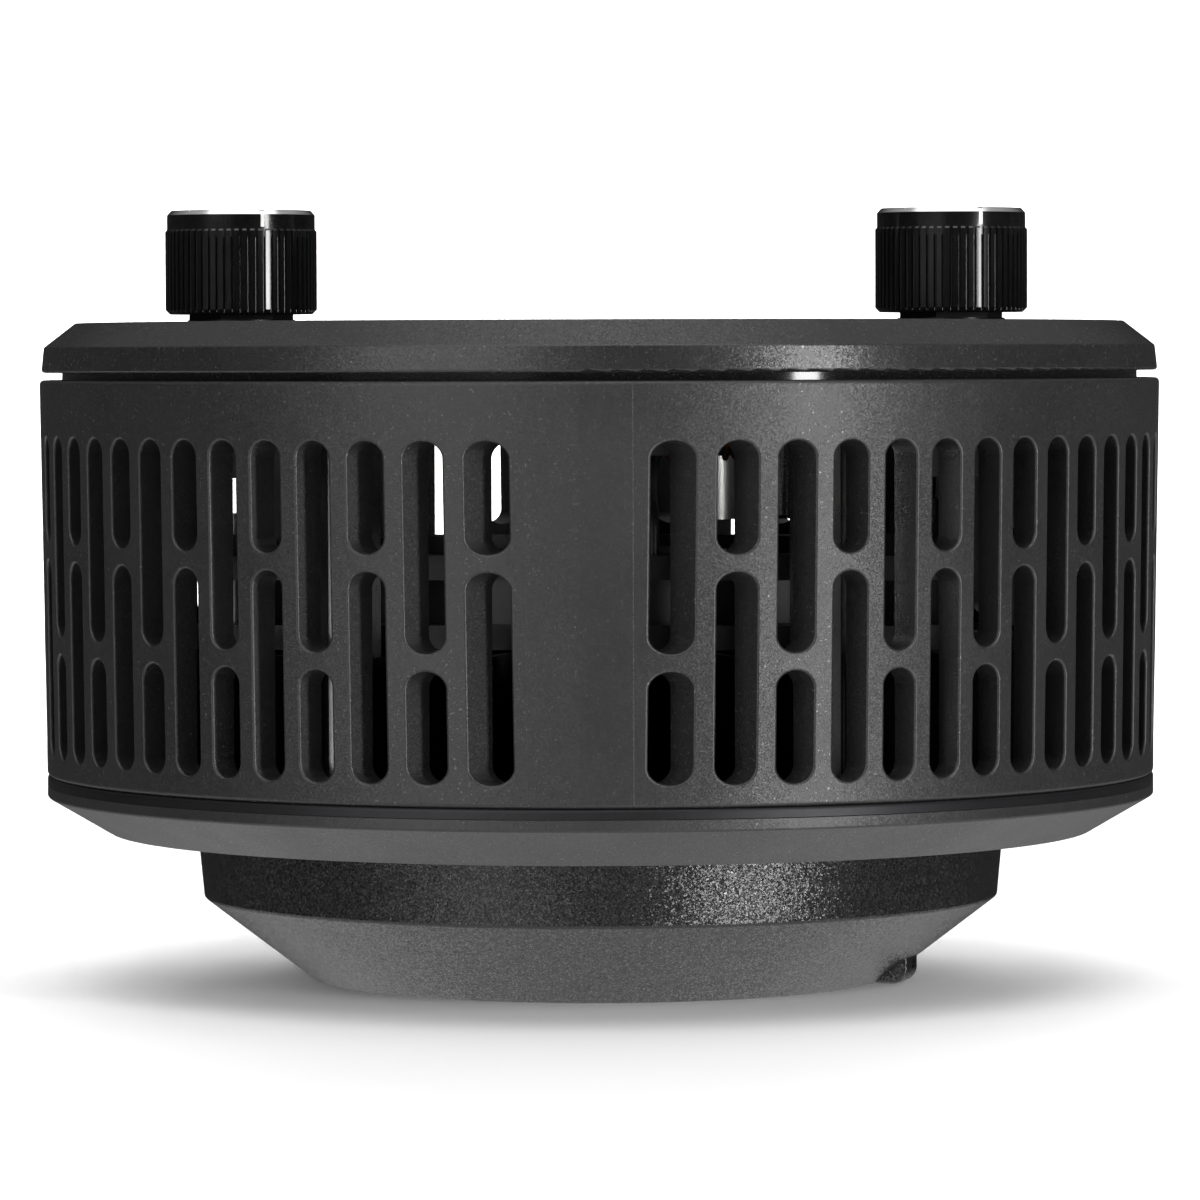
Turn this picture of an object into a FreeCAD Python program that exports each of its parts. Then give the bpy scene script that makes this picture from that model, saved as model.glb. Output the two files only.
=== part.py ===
import FreeCAD, Part
import math
import os

# Round pendant light for an aquarium: a slotted vent ring between a top cover and a base, with a fan
# and a heat sink inside, two control knobs on top and a twist-on lens ring below.
# Millimetres. +Z is up, the lamp's axis is Z, and z = 0 is the lens ring's bottom rim. The front is -Y.
# An azimuth is measured from the front, towards +X.

V = FreeCAD.Vector
UP = V(0, 0, 1)

# ---------------------------------------------------------------- driving dimensions
RING_R_TOP = 62.5          # vent ring, outside, at its top edge
RING_R_BOTTOM = 61.85      # and at its bottom edge: the moulding's draft
RING_R_IN = 59.1
RING_Z0 = 23.0
RING_Z1 = 66.9

COVER_Z0 = 67.7            # top cover's lower edge
COVER_Z1 = 73.2            # top cover's flat top
COVER_WALL = 3.0
COVER_R = 62.3             # its side, and the chamfer's outer and inner edges
COVER_EDGE = (62.0, 70.5)
COVER_TOP_R = 58.5
NECK_R = 60.0              # recessed neck between vent ring and top cover
SPIGOT_R = 59.0
SPIGOT_DEPTH = 2.0

SEAM_Z = 21.9              # base cover meets the heat sink's flange
BASE_R = 61.85
BASE_Z0 = 16.6
BASE_EDGE_Z = 20.65        # the base's chamfer runs from here
BASE_FLAT_R = 54.95        # to here

LENS_RING_R = 45.2         # lens ring's upper wall
LENS_WELL_R = 45.6         # the base's well round it
LENS_CORNER = (44.45, 9.2) # radius and height where the cone meets the wall
LENS_RIM_R = 32.4
LENS_RING_TOP = 17.8

SLOT_WIDTH = 3.6
SLOT_PITCH = 5.67          # between columns, square to the pull direction
SLOT_FIRST = 36.6          # first column's offset from the quadrant's centre line
SLOT_COLUMNS = 14
SLOT_EDGE = 0.28           # rounding of the slots' outer edges
SLOT_LOW, SLOT_HIGH = 25.4, 60.7
SLOT_SHORT, SLOT_LONG = 11.6, 21.8

FAN_SIZE = 80.0
FAN_Z0, FAN_Z1 = 38.3, 48.3
FAN_TURN = -3.5             # degrees the fan is turned on the heat sink
FAN_HOLE = 35.75           # half the fan's screw spacing
BLADES = 9

SINK_TOP = 25.0            # top of the heat sink's plate
FIN_TOP = 38.0
FINS = 60                  # long and short by turns

KNOB_X, KNOB_Y = 39.1, -11.8
KNOB_Z0, KNOB_Z1 = 74.1, 83.5
KNOB_R = 8.35
COLLAR_R = 8.15
COLLAR_Z1 = 85.0
CAP_Z1 = 85.5
FLUTES = 60
POINTER_AZIMUTH = 22.0
POT_CAN_Z0 = 62.0

LUG_AZIMUTHS = (0.0, 120.0, 240.0)         # bayonet lugs on the base cover's collar
LUG_SPAN = 22.0
LUG_R, LUG_TOP = 42.5, 14.5
LUG_TURN = 30.0                            # from locked to the lens ring's notches
COLLAR_OUT = 41.6
OPTIC_SCREW_AZIMUTHS = (60.0, 180.0, 300.0)
OPTIC_SCREW_R = 32.4
GRIP_AZIMUTH = 74.0
TAB_R = 36.2
LED_SCREW_AZIMUTHS = (45.0, 165.0, 285.0)
LED_SCREW_R = 16.5
LED_LEAD_AT = (0.0, 51.5)

POST_AZIMUTHS = (28.0, 152.0, 208.0, 332.0)
POST_R = 53.0
BASE_SCREW_AZIMUTHS = (45.0, 135.0, 225.0, 315.0)
BASE_SCREW_R = 51.4

INSERT_FLANGE_R, INSERT_SEAT = 9.0, 72.4   # the cover's fittings lie in recesses, flush with its top
SOCKET_AT = (12.2, 36.0)                   # power socket
SOCKET_FLANGE_R, SOCKET_SEAT = 7.6, 71.8
SOCKET_Z0 = 50.2
JACKS_AT = ((-9.0, 37.0), (-22.0, 33.0))   # two control jacks
JACK_NUT_R, JACK_SEAT = 4.2, 71.7
BOARD_Z0 = 62.6
BOARD_T = 1.6
BOARD_X = 28.0
BOARD_Y0, BOARD_Y1 = -38.0, 22.0
STANDOFFS = ((24.0, -33.0), (-24.0, -33.0), (24.0, 17.0), (-24.0, 17.0))

CAPACITORS = (                             # radius, x, y, low end, high end
    (2.6, -17.0, -20.0, 64.2, 69.4),
    (2.6, -10.5, -20.0, 64.2, 69.4),
    (3.2, 21.5, -15.0, 51.6, 62.6),
    (3.2, 21.5, -6.0, 51.6, 62.6),
)

parts = {}


# ---------------------------------------------------------------- helpers
def polar(radius, azimuth, z=0.0):
    """Point at a radius and an azimuth from the front."""
    angle = math.radians(azimuth)
    return V(radius * math.sin(angle), -radius * math.cos(angle), z)


def rod(radius, z0, z1, at=(0, 0)):
    """Upright cylinder."""
    return Part.makeCylinder(radius, z1 - z0, V(at[0], at[1], z0), UP)


def pipe(outer, inner, z0, z1, at=(0, 0)):
    """Upright tube."""
    return rod(outer, z0, z1, at).cut(rod(inner, z0 - 1, z1 + 1, at))


def block(x0, x1, y0, y1, z0, z1):
    """Box between two corners."""
    return Part.makeBox(x1 - x0, y1 - y0, z1 - z0, V(x0, y0, z0))


def hexagon(flats, z0, z1, at=(0, 0), turn=0.0):
    """Upright hexagonal bar, by its width across flats."""
    radius = flats / math.sqrt(3)
    corners = [V(at[0] + radius * math.cos(math.radians(60 * k + turn)),
                 at[1] + radius * math.sin(math.radians(60 * k + turn)), z0) for k in range(7)]
    return Part.Face(Part.makePolygon(corners)).extrude(V(0, 0, z1 - z0))


def spun(outline):
    """Solid of revolution about Z from (radius, z) points; a 3-tuple of points is an arc."""
    edges = []
    here = None
    for step in outline:
        if isinstance(step[0], tuple):
            middle, end = [V(r, 0, z) for r, z in step]
            edges.append(Part.Arc(here, middle, end).toShape())
            here = end
        else:
            there = V(step[0], 0, step[1])
            if here is not None:
                edges.append(Part.LineSegment(here, there).toShape())
            here = there
    first = V(outline[0][0], 0, outline[0][1])
    if here.distanceToPoint(first) > 0.001:
        edges.append(Part.LineSegment(here, first).toShape())
    return Part.Face(Part.Wire(edges)).revolve(V(0, 0, 0), UP, 360)


def round_rims(shape, rims):
    """Fillet the circular edges given as (radius, z, fillet)."""
    for radius, z, fillet in rims:
        picked = [edge for edge in shape.Edges
                  if isinstance(edge.Curve, Part.Circle)
                  and abs(edge.Curve.Radius - radius) < 0.02
                  and abs(edge.Curve.Center.z - z) < 0.02]
        shape = shape.makeFillet(fillet, picked)
    return shape


def turned(shape, degrees):
    """Copy turned about the lamp's axis."""
    copy = shape.copy()
    copy.rotate(V(0, 0, 0), UP, degrees)
    return copy


def moved(shape, x, y, z=0.0):
    """Copy moved sideways."""
    copy = shape.copy()
    copy.translate(V(x, y, z))
    return copy


def group(shapes):
    """Separate solids that share one node."""
    return Part.makeCompound(shapes)


def wire_run(points, radius, longest_cut=20.0):
    """Round wire along straight runs joined by tangent arcs; an arc takes at most longest_cut of a run."""
    points = [V(*p) for p in points]
    edges = []
    here = points[0]
    for before, corner, after in zip(points, points[1:], points[2:]):
        way_in = (corner - before).normalize()
        way_out = (after - corner).normalize()
        turn = way_in.getAngle(way_out)
        cut = min(longest_cut, 0.45 * min((corner - before).Length, (after - corner).Length))
        start = corner - way_in * cut
        end = corner + way_out * cut
        bend = cut / math.tan(turn / 2)
        inwards = (way_out - way_in).normalize()
        middle = corner + inwards * (math.hypot(bend, cut) - bend)
        edges.append(Part.LineSegment(here, start).toShape())
        edges.append(Part.Arc(start, middle, end).toShape())
        here = end
    edges.append(Part.LineSegment(here, points[-1]).toShape())
    spine = Part.Wire(edges)
    section = Part.Wire(Part.Circle(points[0], points[1] - points[0], radius).toShape())
    return spine.makePipeShell([section], True, True)


# ---------------------------------------------------------------- vent ring
def slot(pull, side, offset, z0, z1):
    """One slot with round ends, cut along its quadrant's pull direction."""
    half = SLOT_WIDTH / 2
    outwards = polar(1, pull)
    across = V(math.cos(math.radians(pull)), math.sin(math.radians(pull)), 0) * side
    start = outwards * 40

    def at(u, z):
        return start + across * u + UP * z

    outline = Part.Wire([
        Part.LineSegment(at(offset - half, z0 + half), at(offset - half, z1 - half)).toShape(),
        Part.Arc(at(offset - half, z1 - half), at(offset, z1), at(offset + half, z1 - half)).toShape(),
        Part.LineSegment(at(offset + half, z1 - half), at(offset + half, z0 + half)).toShape(),
        Part.Arc(at(offset + half, z0 + half), at(offset, z0), at(offset - half, z0 + half)).toShape(),
    ])
    return Part.Face(outline).extrude(outwards * 26)


def quadrant(ring, pull, side, long_first):
    """A quarter of the ring with its two slots in each column, their outer edges rounded."""
    quarter = turned(block(0, 70, -70, 0, RING_Z0 - 1, RING_Z1 + 1), pull - 45)
    tools = []
    for column in range(SLOT_COLUMNS):
        offset = SLOT_FIRST - SLOT_PITCH * column
        long_above = long_first == (column % 2 == 0)
        upper, lower = (SLOT_LONG, SLOT_SHORT) if long_above else (SLOT_SHORT, SLOT_LONG)
        tools.append(slot(pull, side, offset, SLOT_LOW, SLOT_LOW + lower))
        tools.append(slot(pull, side, offset, SLOT_HIGH - upper, SLOT_HIGH))
    wall = ring.common(quarter).cut(tools)
    slope = (RING_R_TOP - RING_R_BOTTOM) / (RING_Z1 - RING_Z0)

    def on_skin(point):
        skin = RING_R_BOTTOM + slope * (point.z - RING_Z0)
        return abs(math.hypot(point.x, point.y) - skin) < 0.01

    def is_slot_rim(edge):
        middle = edge.valueAt((edge.FirstParameter + edge.LastParameter) / 2)
        ends = [vertex.Point for vertex in edge.Vertexes]
        from_seam = min(abs(middle.x), abs(middle.y))
        inside = SLOT_LOW - 1 < middle.z < SLOT_HIGH + 1 and from_seam > 1
        return inside and all(on_skin(point) for point in ends + [middle])

    return wall.makeFillet(SLOT_EDGE, [edge for edge in wall.Edges if is_slot_rim(edge)])


def vent_ring():
    """Slotted ring: the moulding's four quadrants, opposite ones alike."""
    ring = spun([(RING_R_IN, RING_Z0), (RING_R_BOTTOM, RING_Z0), (RING_R_TOP, RING_Z1), (RING_R_IN, RING_Z1)])
    ring = round_rims(ring, [(RING_R_BOTTOM, RING_Z0, 0.5), (RING_R_TOP, RING_Z1, 0.5)])
    front_right = quadrant(ring, 45, -1, True)
    rear_right = quadrant(ring, 135, 1, False)
    quarters = [front_right, rear_right, turned(front_right, 180), turned(rear_right, 180)]
    return quarters[0].fuse(quarters[1:]).removeSplitter()


# ---------------------------------------------------------------- covers
def top_cover():
    """Top cover with a neck that sits on the vent ring and a spigot inside it."""
    under = COVER_Z1 - COVER_WALL
    cover = spun([
        (0, under), (57.4, under), (57.4, RING_Z1 - SPIGOT_DEPTH), (SPIGOT_R, RING_Z1 - SPIGOT_DEPTH),
        (SPIGOT_R, RING_Z1), (NECK_R, RING_Z1), (NECK_R, COVER_Z0), (COVER_R, COVER_Z0), COVER_EDGE,
        (COVER_TOP_R, COVER_Z1), (0, COVER_Z1),
    ])
    cover = round_rims(cover, [(COVER_R, COVER_Z0, 0.35), (*COVER_EDGE, 0.25), (COVER_TOP_R, COVER_Z1, 0.3)])
    holes = [rod(3.6, under - 1, COVER_Z1 + 1, (x, KNOB_Y)) for x in (-KNOB_X, KNOB_X)]
    holes += [rod(6.05, under - 1, COVER_Z1 + 1), rod(INSERT_FLANGE_R + 0.05, INSERT_SEAT, COVER_Z1 + 1)]
    holes += [rod(6.05, under - 1, COVER_Z1 + 1, SOCKET_AT)]
    holes.append(rod(SOCKET_FLANGE_R + 0.05, SOCKET_SEAT, COVER_Z1 + 1, SOCKET_AT))
    for at in JACKS_AT:
        holes += [rod(3.1, under - 1, COVER_Z1 + 1, at), rod(JACK_NUT_R + 0.5, JACK_SEAT, COVER_Z1 + 1, at)]
    for azimuth in POST_AZIMUTHS:
        place = polar(POST_R, azimuth)
        holes.append(rod(1.7, under - 1, COVER_Z1 + 1, (place.x, place.y)))
        holes.append(rod(3.1, COVER_Z1 - 1.7, COVER_Z1 + 1, (place.x, place.y)))
    return cover.cut(holes)


def base_cover():
    """Chamfered base with a collar whose lugs hold the lens ring."""
    floor = BASE_Z0 + 1.8
    cover = spun([
        (LENS_WELL_R, BASE_Z0), (BASE_FLAT_R, BASE_Z0), (BASE_R, BASE_EDGE_Z), (BASE_R, SEAM_Z - 0.1),
        (BASE_R - 0.1, SEAM_Z), (59.6, SEAM_Z), (59.6, 21.1), (55.3, floor), (LENS_WELL_R + 1.6, floor),
        (LENS_WELL_R + 0.6, floor + 1), (39.9, floor + 1), (39.9, 12.6), (COLLAR_OUT, 12.6),
        (COLLAR_OUT, 18.0), (LENS_WELL_R, 18.0),
    ])
    cover = round_rims(cover, [(BASE_FLAT_R, BASE_Z0, 0.4), (BASE_R, BASE_EDGE_Z, 0.3), (LENS_WELL_R, BASE_Z0, 0.3)])
    lug = pipe(LUG_R, COLLAR_OUT - 0.6, 13.0, LUG_TOP)
    cover = cover.fuse([lug.common(wedge(azimuth, LUG_SPAN)) for azimuth in LUG_AZIMUTHS])
    for azimuth in BASE_SCREW_AZIMUTHS:
        place = polar(BASE_SCREW_R, azimuth)
        at = (place.x, place.y)
        cover = cover.fuse(rod(3.3, BASE_Z0 + 0.4, SEAM_Z, at))
        cover = cover.cut([rod(1.65, BASE_Z0 - 1, SEAM_Z + 1, at), rod(2.9, BASE_Z0 - 1, BASE_Z0 + 1.9, at)])
    return cover


def wedge(azimuth, span):
    """Tall sector about the lamp's axis, centred on an azimuth."""
    corners = [V(0, 0, 0)] + [polar(90, azimuth + span * k / 4) for k in range(-2, 3)] + [V(0, 0, 0)]
    return Part.Face(Part.makePolygon(corners)).extrude(V(0, 0, 100))


# ---------------------------------------------------------------- lens ring and its optics
def lens_ring():
    """Conical ring whose inner lip turns behind the collar's lugs."""
    corner_r, corner_z = LENS_CORNER
    ring = spun([
        (28.3, 0), (LENS_RIM_R, 0), (corner_r, corner_z), (LENS_RING_R, 17.0), (LENS_RING_R, LENS_RING_TOP),
        (COLLAR_OUT + 0.2, LENS_RING_TOP), (COLLAR_OUT + 0.2, LUG_TOP + 0.1), (LUG_R + 0.15, LUG_TOP + 0.1),
        (LUG_R + 0.15, 11.0), (41.1, corner_z), (35.3, 4.6), (34.2, 4.6), (34.2, 7.0), (30.6, 7.0),
        (30.6, 1.6), (28.3, 1.6),
    ])
    ring = round_rims(ring, [(corner_r, corner_z, 0.5), (LENS_RIM_R, 0, 0.4), (28.3, 0, 0.3)])
    notch = pipe(LUG_R + 0.15, COLLAR_OUT - 1, LUG_TOP - 1, LENS_RING_TOP + 1)
    cuts = [notch.common(wedge(azimuth + LUG_TURN, LUG_SPAN + 2)) for azimuth in LUG_AZIMUTHS]
    for azimuth in OPTIC_SCREW_AZIMUTHS:
        place = polar(OPTIC_SCREW_R, azimuth)
        cuts.append(rod(0.95, 3.4, 8, (place.x, place.y)))
    return ring.cut(cuts + [ring_tab_pocket()])


def ring_tab_pocket():
    """Pocket in the cone for the grip tab's foot."""
    return turned(block(-1.6, 1.6, -34.6, -31.5, 1.0, 3.0), GRIP_AZIMUTH)


def ring_tab():
    """Grip tab on the cone: the turning ring's finger stop."""
    half = 2.25
    tab = block(-half, half, -TAB_R, -31.5, 0.05, 4.2)
    low_edge = [edge for edge in tab.Edges
                if abs(edge.CenterOfMass.y + TAB_R) < 0.01 and abs(edge.CenterOfMass.z - 0.05) < 0.01]
    tab = tab.makeFillet(1.7, low_edge)
    sides = [edge for edge in tab.Edges
             if abs(edge.CenterOfMass.y + TAB_R) < 0.01 and abs(abs(edge.CenterOfMass.x) - half) < 0.01]
    tab = tab.makeFillet(0.4, sides)
    hole = Part.makeCylinder(0.8, 2, V(0.4, -38, 2.4), V(0, 1, 0))
    slope = (LENS_CORNER[0] - LENS_RIM_R) / LENS_CORNER[1]
    cone = spun([(0, -1), (LENS_RIM_R - slope, -1), (LENS_RIM_R + 5 * slope, 5), (0, 5)])
    foot = block(-1.55, 1.55, -34.5, -31.6, 1.05, 2.95)
    tab = tab.cut([hole, cone]).fuse(foot.common(cone))
    return turned(tab, GRIP_AZIMUTH)


def lens():
    """Clear lens with a shallow crown below."""
    return spun([(0, 0.6), ((14, 0.85), (27.0, 1.6)), (30.4, 1.6), (30.4, 5.6), (0, 5.6)])


def lens_gasket():
    """Rubber ring between the lens and the reflector's flange."""
    return round_rims(pipe(30.3, 28.6, 5.6, 7.0), [(30.3, 7.0, 0.3), (28.6, 7.0, 0.3)])


def reflector():
    """Spun reflector with a flange that screws to the lens ring."""
    dish = spun([
        (27.5, 7.0), (34.0, 7.0), (34.0, 8.0), (28.3, 8.0), ((22.0, 13.4), (13.4, 17.5)),
        (12.2, 17.5), ((20.9, 12.9), (27.5, 7.0)),
    ])
    screws = [rod(1.1, 6, 9, (p.x, p.y)) for p in [polar(OPTIC_SCREW_R, a) for a in OPTIC_SCREW_AZIMUTHS]]
    return dish.cut(screws)


def pan_screw(at, head_r, head_z0, head_z1, shank_r, shank_end, drive=0.9):
    """Pan-head screw with a hex socket; its shank runs from the head to shank_end."""
    low, high = min(head_z0, head_z1), max(head_z0, head_z1)
    outer = high if shank_end < low else low
    screw = rod(head_r, low, high, at)
    screw = round_rims(screw, [(head_r, outer, 0.25)])
    screw = screw.fuse(rod(shank_r, min(shank_end, high), max(shank_end, low), at))
    depth = 0.6 * (high - low)
    if shank_end < low:
        return screw.cut(hexagon(drive * 2, high - depth, high + 1, at))
    return screw.cut(hexagon(drive * 2, low - 1, low + depth, at))


def optic_screws():
    """Three small screws through the reflector's flange."""
    places = [polar(OPTIC_SCREW_R, azimuth) for azimuth in OPTIC_SCREW_AZIMUTHS]
    return group([pan_screw((p.x, p.y), 1.5, 8.0, 9.1, 0.9, 3.6, 0.55) for p in places])


# ---------------------------------------------------------------- heat sink and light source
def heat_sink():
    """Round plate with radial fins, fan bosses and a flange that shows below the vent ring."""
    sink = spun([
        (0, SEAM_Z), (BASE_R, SEAM_Z), (BASE_R, RING_Z0), (SPIGOT_R, RING_Z0), (SPIGOT_R, SINK_TOP), (0, SINK_TOP),
    ])
    sink = round_rims(sink, [(BASE_R, RING_Z0, 0.45)])
    core = rod(16.5, SINK_TOP - 0.5, FIN_TOP)
    long_fin = block(-0.6, 0.6, -57.5, -15.0, SINK_TOP - 0.5, FIN_TOP)
    short_fin = block(-0.6, 0.6, -57.5, -31.0, SINK_TOP - 0.5, FIN_TOP)
    fins = [turned(long_fin if k % 2 == 0 else short_fin, 360 * k / FINS) for k in range(FINS)]
    bosses = [rod(3.6, SINK_TOP - 0.5, FAN_Z0, at) for at in fan_holes()]
    clear = []
    for azimuth in POST_AZIMUTHS:
        place = polar(POST_R, azimuth)
        clear.append(rod(4.1, SINK_TOP, FIN_TOP + 1, (place.x, place.y)))
    clear.append(rod(3.4, SINK_TOP, FIN_TOP + 1, LED_LEAD_AT))
    sink = sink.fuse([core] + fins).cut(clear).fuse(bosses)
    holes = [rod(1.65, SINK_TOP + 4, FAN_Z0 + 1, at) for at in fan_holes()]
    for azimuth in BASE_SCREW_AZIMUTHS:
        place = polar(BASE_SCREW_R, azimuth)
        holes.append(rod(1.55, SEAM_Z - 1, SEAM_Z + 4.5, (place.x, place.y)))
    for azimuth in POST_AZIMUTHS:
        place = polar(POST_R, azimuth)
        holes.append(rod(1.55, SEAM_Z - 1, SINK_TOP + 1, (place.x, place.y)))
    for azimuth in LED_SCREW_AZIMUTHS:
        place = polar(LED_SCREW_R, azimuth)
        holes.append(rod(1.05, SEAM_Z - 1, SEAM_Z + 4, (place.x, place.y)))
    holes.append(rod(2.4, SEAM_Z - 1, SINK_TOP + 1, LED_LEAD_AT))
    return sink.cut(holes)


def fan_holes():
    """Centres of the fan's four screws."""
    turn = math.radians(FAN_TURN)
    corners = [(x, y) for x in (-FAN_HOLE, FAN_HOLE) for y in (-FAN_HOLE, FAN_HOLE)]
    return [(x * math.cos(turn) - y * math.sin(turn), x * math.sin(turn) + y * math.cos(turn))
            for x, y in corners]


def led_screw_places():
    """Centres of the three screws through the holder and the board."""
    return [polar(LED_SCREW_R, azimuth) for azimuth in LED_SCREW_AZIMUTHS]


def thermal_pad():
    """Soft pad between the board and the heat sink."""
    return rod(20.0, 21.55, SEAM_Z).cut([rod(1.3, 21, 23, (p.x, p.y)) for p in led_screw_places()])


def led_board():
    """Round metal-core board."""
    return rod(20.0, 19.95, 21.55).cut([rod(1.3, 19, 23, (p.x, p.y)) for p in led_screw_places()])


def led_emitter():
    """Dense chip array under a flat round of phosphor."""
    return rod(9.0, 18.75, 19.95)


def led_holder():
    """Moulded ring that clamps the emitter's board and centres the reflector."""
    ring = spun([(10.2, 18.0), (13.2, 18.0), (19.4, 18.9), (19.4, 19.95), (9.6, 19.95), (9.6, 18.75)])
    holes = [rod(1.3, 17, 21, (p.x, p.y)) for p in led_screw_places()]
    recesses = [rod(2.1, 17, 18.9, (p.x, p.y)) for p in led_screw_places()]
    return ring.cut(holes + recesses)


def led_screws():
    """Three screws up through the holder and the board into the heat sink."""
    return group([pan_screw((p.x, p.y), 1.9, 17.7, 18.9, 1.0, 25.5, 0.7) for p in led_screw_places()])


# ---------------------------------------------------------------- fan
def fan_frame():
    """Slim square frame: two flanges, a round duct, a motor seat and four struts below."""
    half = FAN_SIZE / 2

    def flange(z0, z1):
        plate = block(-half, half, -half, half, z0, z1)
        corners = [edge for edge in plate.Edges if abs(edge.CenterOfMass.z - (z0 + z1) / 2) < 0.01]
        return plate.makeFillet(4.5, corners)

    frame = flange(FAN_Z0, FAN_Z0 + 2.6).fuse([flange(FAN_Z1 - 2.6, FAN_Z1), rod(39.6, FAN_Z0, FAN_Z1)])
    frame = frame.cut(rod(38.2, FAN_Z0 - 1, FAN_Z1 + 1))
    seat = rod(14.5, FAN_Z0, FAN_Z0 + 1.4)
    struts = [turned(block(12, 39, -1.6, 1.6, FAN_Z0, FAN_Z0 + 1.4), 45 + 90 * k) for k in range(4)]
    tube = rod(3.6, FAN_Z0, FAN_Z1 - 3.2)
    frame = frame.fuse([seat, tube] + struts).cut(rod(2.5, FAN_Z0 + 0.7, FAN_Z1 + 1))
    holes = [rod(2.15, FAN_Z0 - 1, FAN_Z1 + 1, (x, y)) for x in (-FAN_HOLE, FAN_HOLE) for y in (-FAN_HOLE, FAN_HOLE)]
    return turned(frame.cut(holes), FAN_TURN)


def fan_rotor():
    """Cup with swept blades."""
    top = FAN_Z1 - 0.6
    low = FAN_Z0 + 2.0
    cup = spun([(1.52, top), (15.0, top), (15.0, low), (13.9, low), (13.9, top - 1.2), (1.52, top - 1.2)])
    cup = round_rims(cup, [(15.0, top, 0.7)])
    blades = []
    for k in range(BLADES):
        root = fan_blade_section(14.8, low + 0.2, top - 0.9, 17.0, 0.0)
        middle = fan_blade_section(26.0, low + 0.2, top - 0.9, 13.5, 9.0)
        tip = fan_blade_section(37.2, low + 0.2, top - 0.9, 11.5, 20.0)
        blade = Part.makeLoft([root, middle, tip], True, False)
        blades.append(turned(blade, 360 * k / BLADES))
    return cup.fuse(blades)


def fan_blade_section(radius, low, high, half_span, sweep):
    """Slanted blade section on a flat that faces outwards at a radius; spans are in degrees."""
    lead = math.radians(sweep - half_span)
    trail = math.radians(sweep + half_span)
    thick = 1.1
    outline = [
        V(radius * math.sin(lead), -radius * math.cos(lead), high - thick),
        V(radius * math.sin(trail), -radius * math.cos(trail), low),
        V(radius * math.sin(trail), -radius * math.cos(trail), low + thick),
        V(radius * math.sin(lead), -radius * math.cos(lead), high),
    ]
    return Part.makePolygon(outline + outline[:1])


def fan_magnet():
    """Magnet ring inside the rotor's cup."""
    return pipe(13.9, 12.7, FAN_Z0 + 2.3, FAN_Z1 - 1.9)


def fan_shaft():
    """Shaft pressed in the rotor."""
    return rod(1.5, FAN_Z0 + 1.2, FAN_Z1 - 0.7)


def fan_bearing():
    """Sleeve bearing in the frame's tube."""
    return pipe(2.5, 1.54, FAN_Z0 + 1.2, FAN_Z1 - 3.2)


def fan_stator():
    """Four wound poles round the bearing tube."""
    z0, z1 = FAN_Z0 + 2.4, FAN_Z1 - 2.8
    core = pipe(5.6, 3.65, z0, z1)
    poles = []
    for k in range(4):
        arm = turned(block(5, 10.5, -1.7, 1.7, z0 + 0.6, z1 - 0.6), 90 * k)
        shoe = pipe(12.0, 10.4, z0 + 0.6, z1 - 0.6).common(wedge(90 * k, 62))
        coil = turned(block(6.4, 9.6, -3.3, 3.3, z0, z1), 90 * k)
        poles += [arm, shoe, coil]
    return turned(core.fuse(poles), 20)


def fan_screws():
    """Four studs from the heat sink's bosses through the fan."""
    return group([threaded_stud(1.5, SINK_TOP + 4.5, FAN_Z1 + 4.4, at) for at in fan_holes()])


def threaded_stud(radius, z0, z1, at):
    """Stud with turned grooves for its thread near the upper end."""
    grooves = [pipe(radius + 1, radius - 0.2, z1 - 0.9 - 0.7 * k, z1 - 0.6 - 0.7 * k, at) for k in range(5)]
    return rod(radius, z0, z1, at).cut(grooves)


def fan_nuts():
    """Four hex nuts that hold the fan down."""
    return group([hexagon(5.5, FAN_Z1, FAN_Z1 + 2.2, at, FAN_TURN + 20).cut(rod(1.55, FAN_Z1 - 1, FAN_Z1 + 4, at))
                  for at in fan_holes()])


# ---------------------------------------------------------------- posts and housing screws
def cover_posts():
    """Four hex posts between the heat sink and the top cover."""
    posts = []
    for azimuth in POST_AZIMUTHS:
        place = polar(POST_R, azimuth)
        at = (place.x, place.y)
        post = hexagon(6.0, SINK_TOP, COVER_Z1 - COVER_WALL, at, 90 - azimuth)
        post = post.fuse(rod(1.5, SEAM_Z + 0.2, SINK_TOP + 1, at))
        posts.append(post.cut(rod(1.55, 58, COVER_Z1, at)))
    return group(posts)


def cover_screws():
    """Four screws through the top cover into the posts."""
    places = [polar(POST_R, azimuth) for azimuth in POST_AZIMUTHS]
    return group([pan_screw((p.x, p.y), 2.8, COVER_Z1 - 1.7, COVER_Z1 - 0.1, 1.5, 61, 1.1) for p in places])


def base_screws():
    """Four screws up through the base cover into the heat sink."""
    places = [polar(BASE_SCREW_R, azimuth) for azimuth in BASE_SCREW_AZIMUTHS]
    return group([pan_screw((p.x, p.y), 2.7, BASE_Z0 + 0.2, BASE_Z0 + 1.9, 1.5, SEAM_Z + 3.8, 1.1) for p in places])


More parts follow.
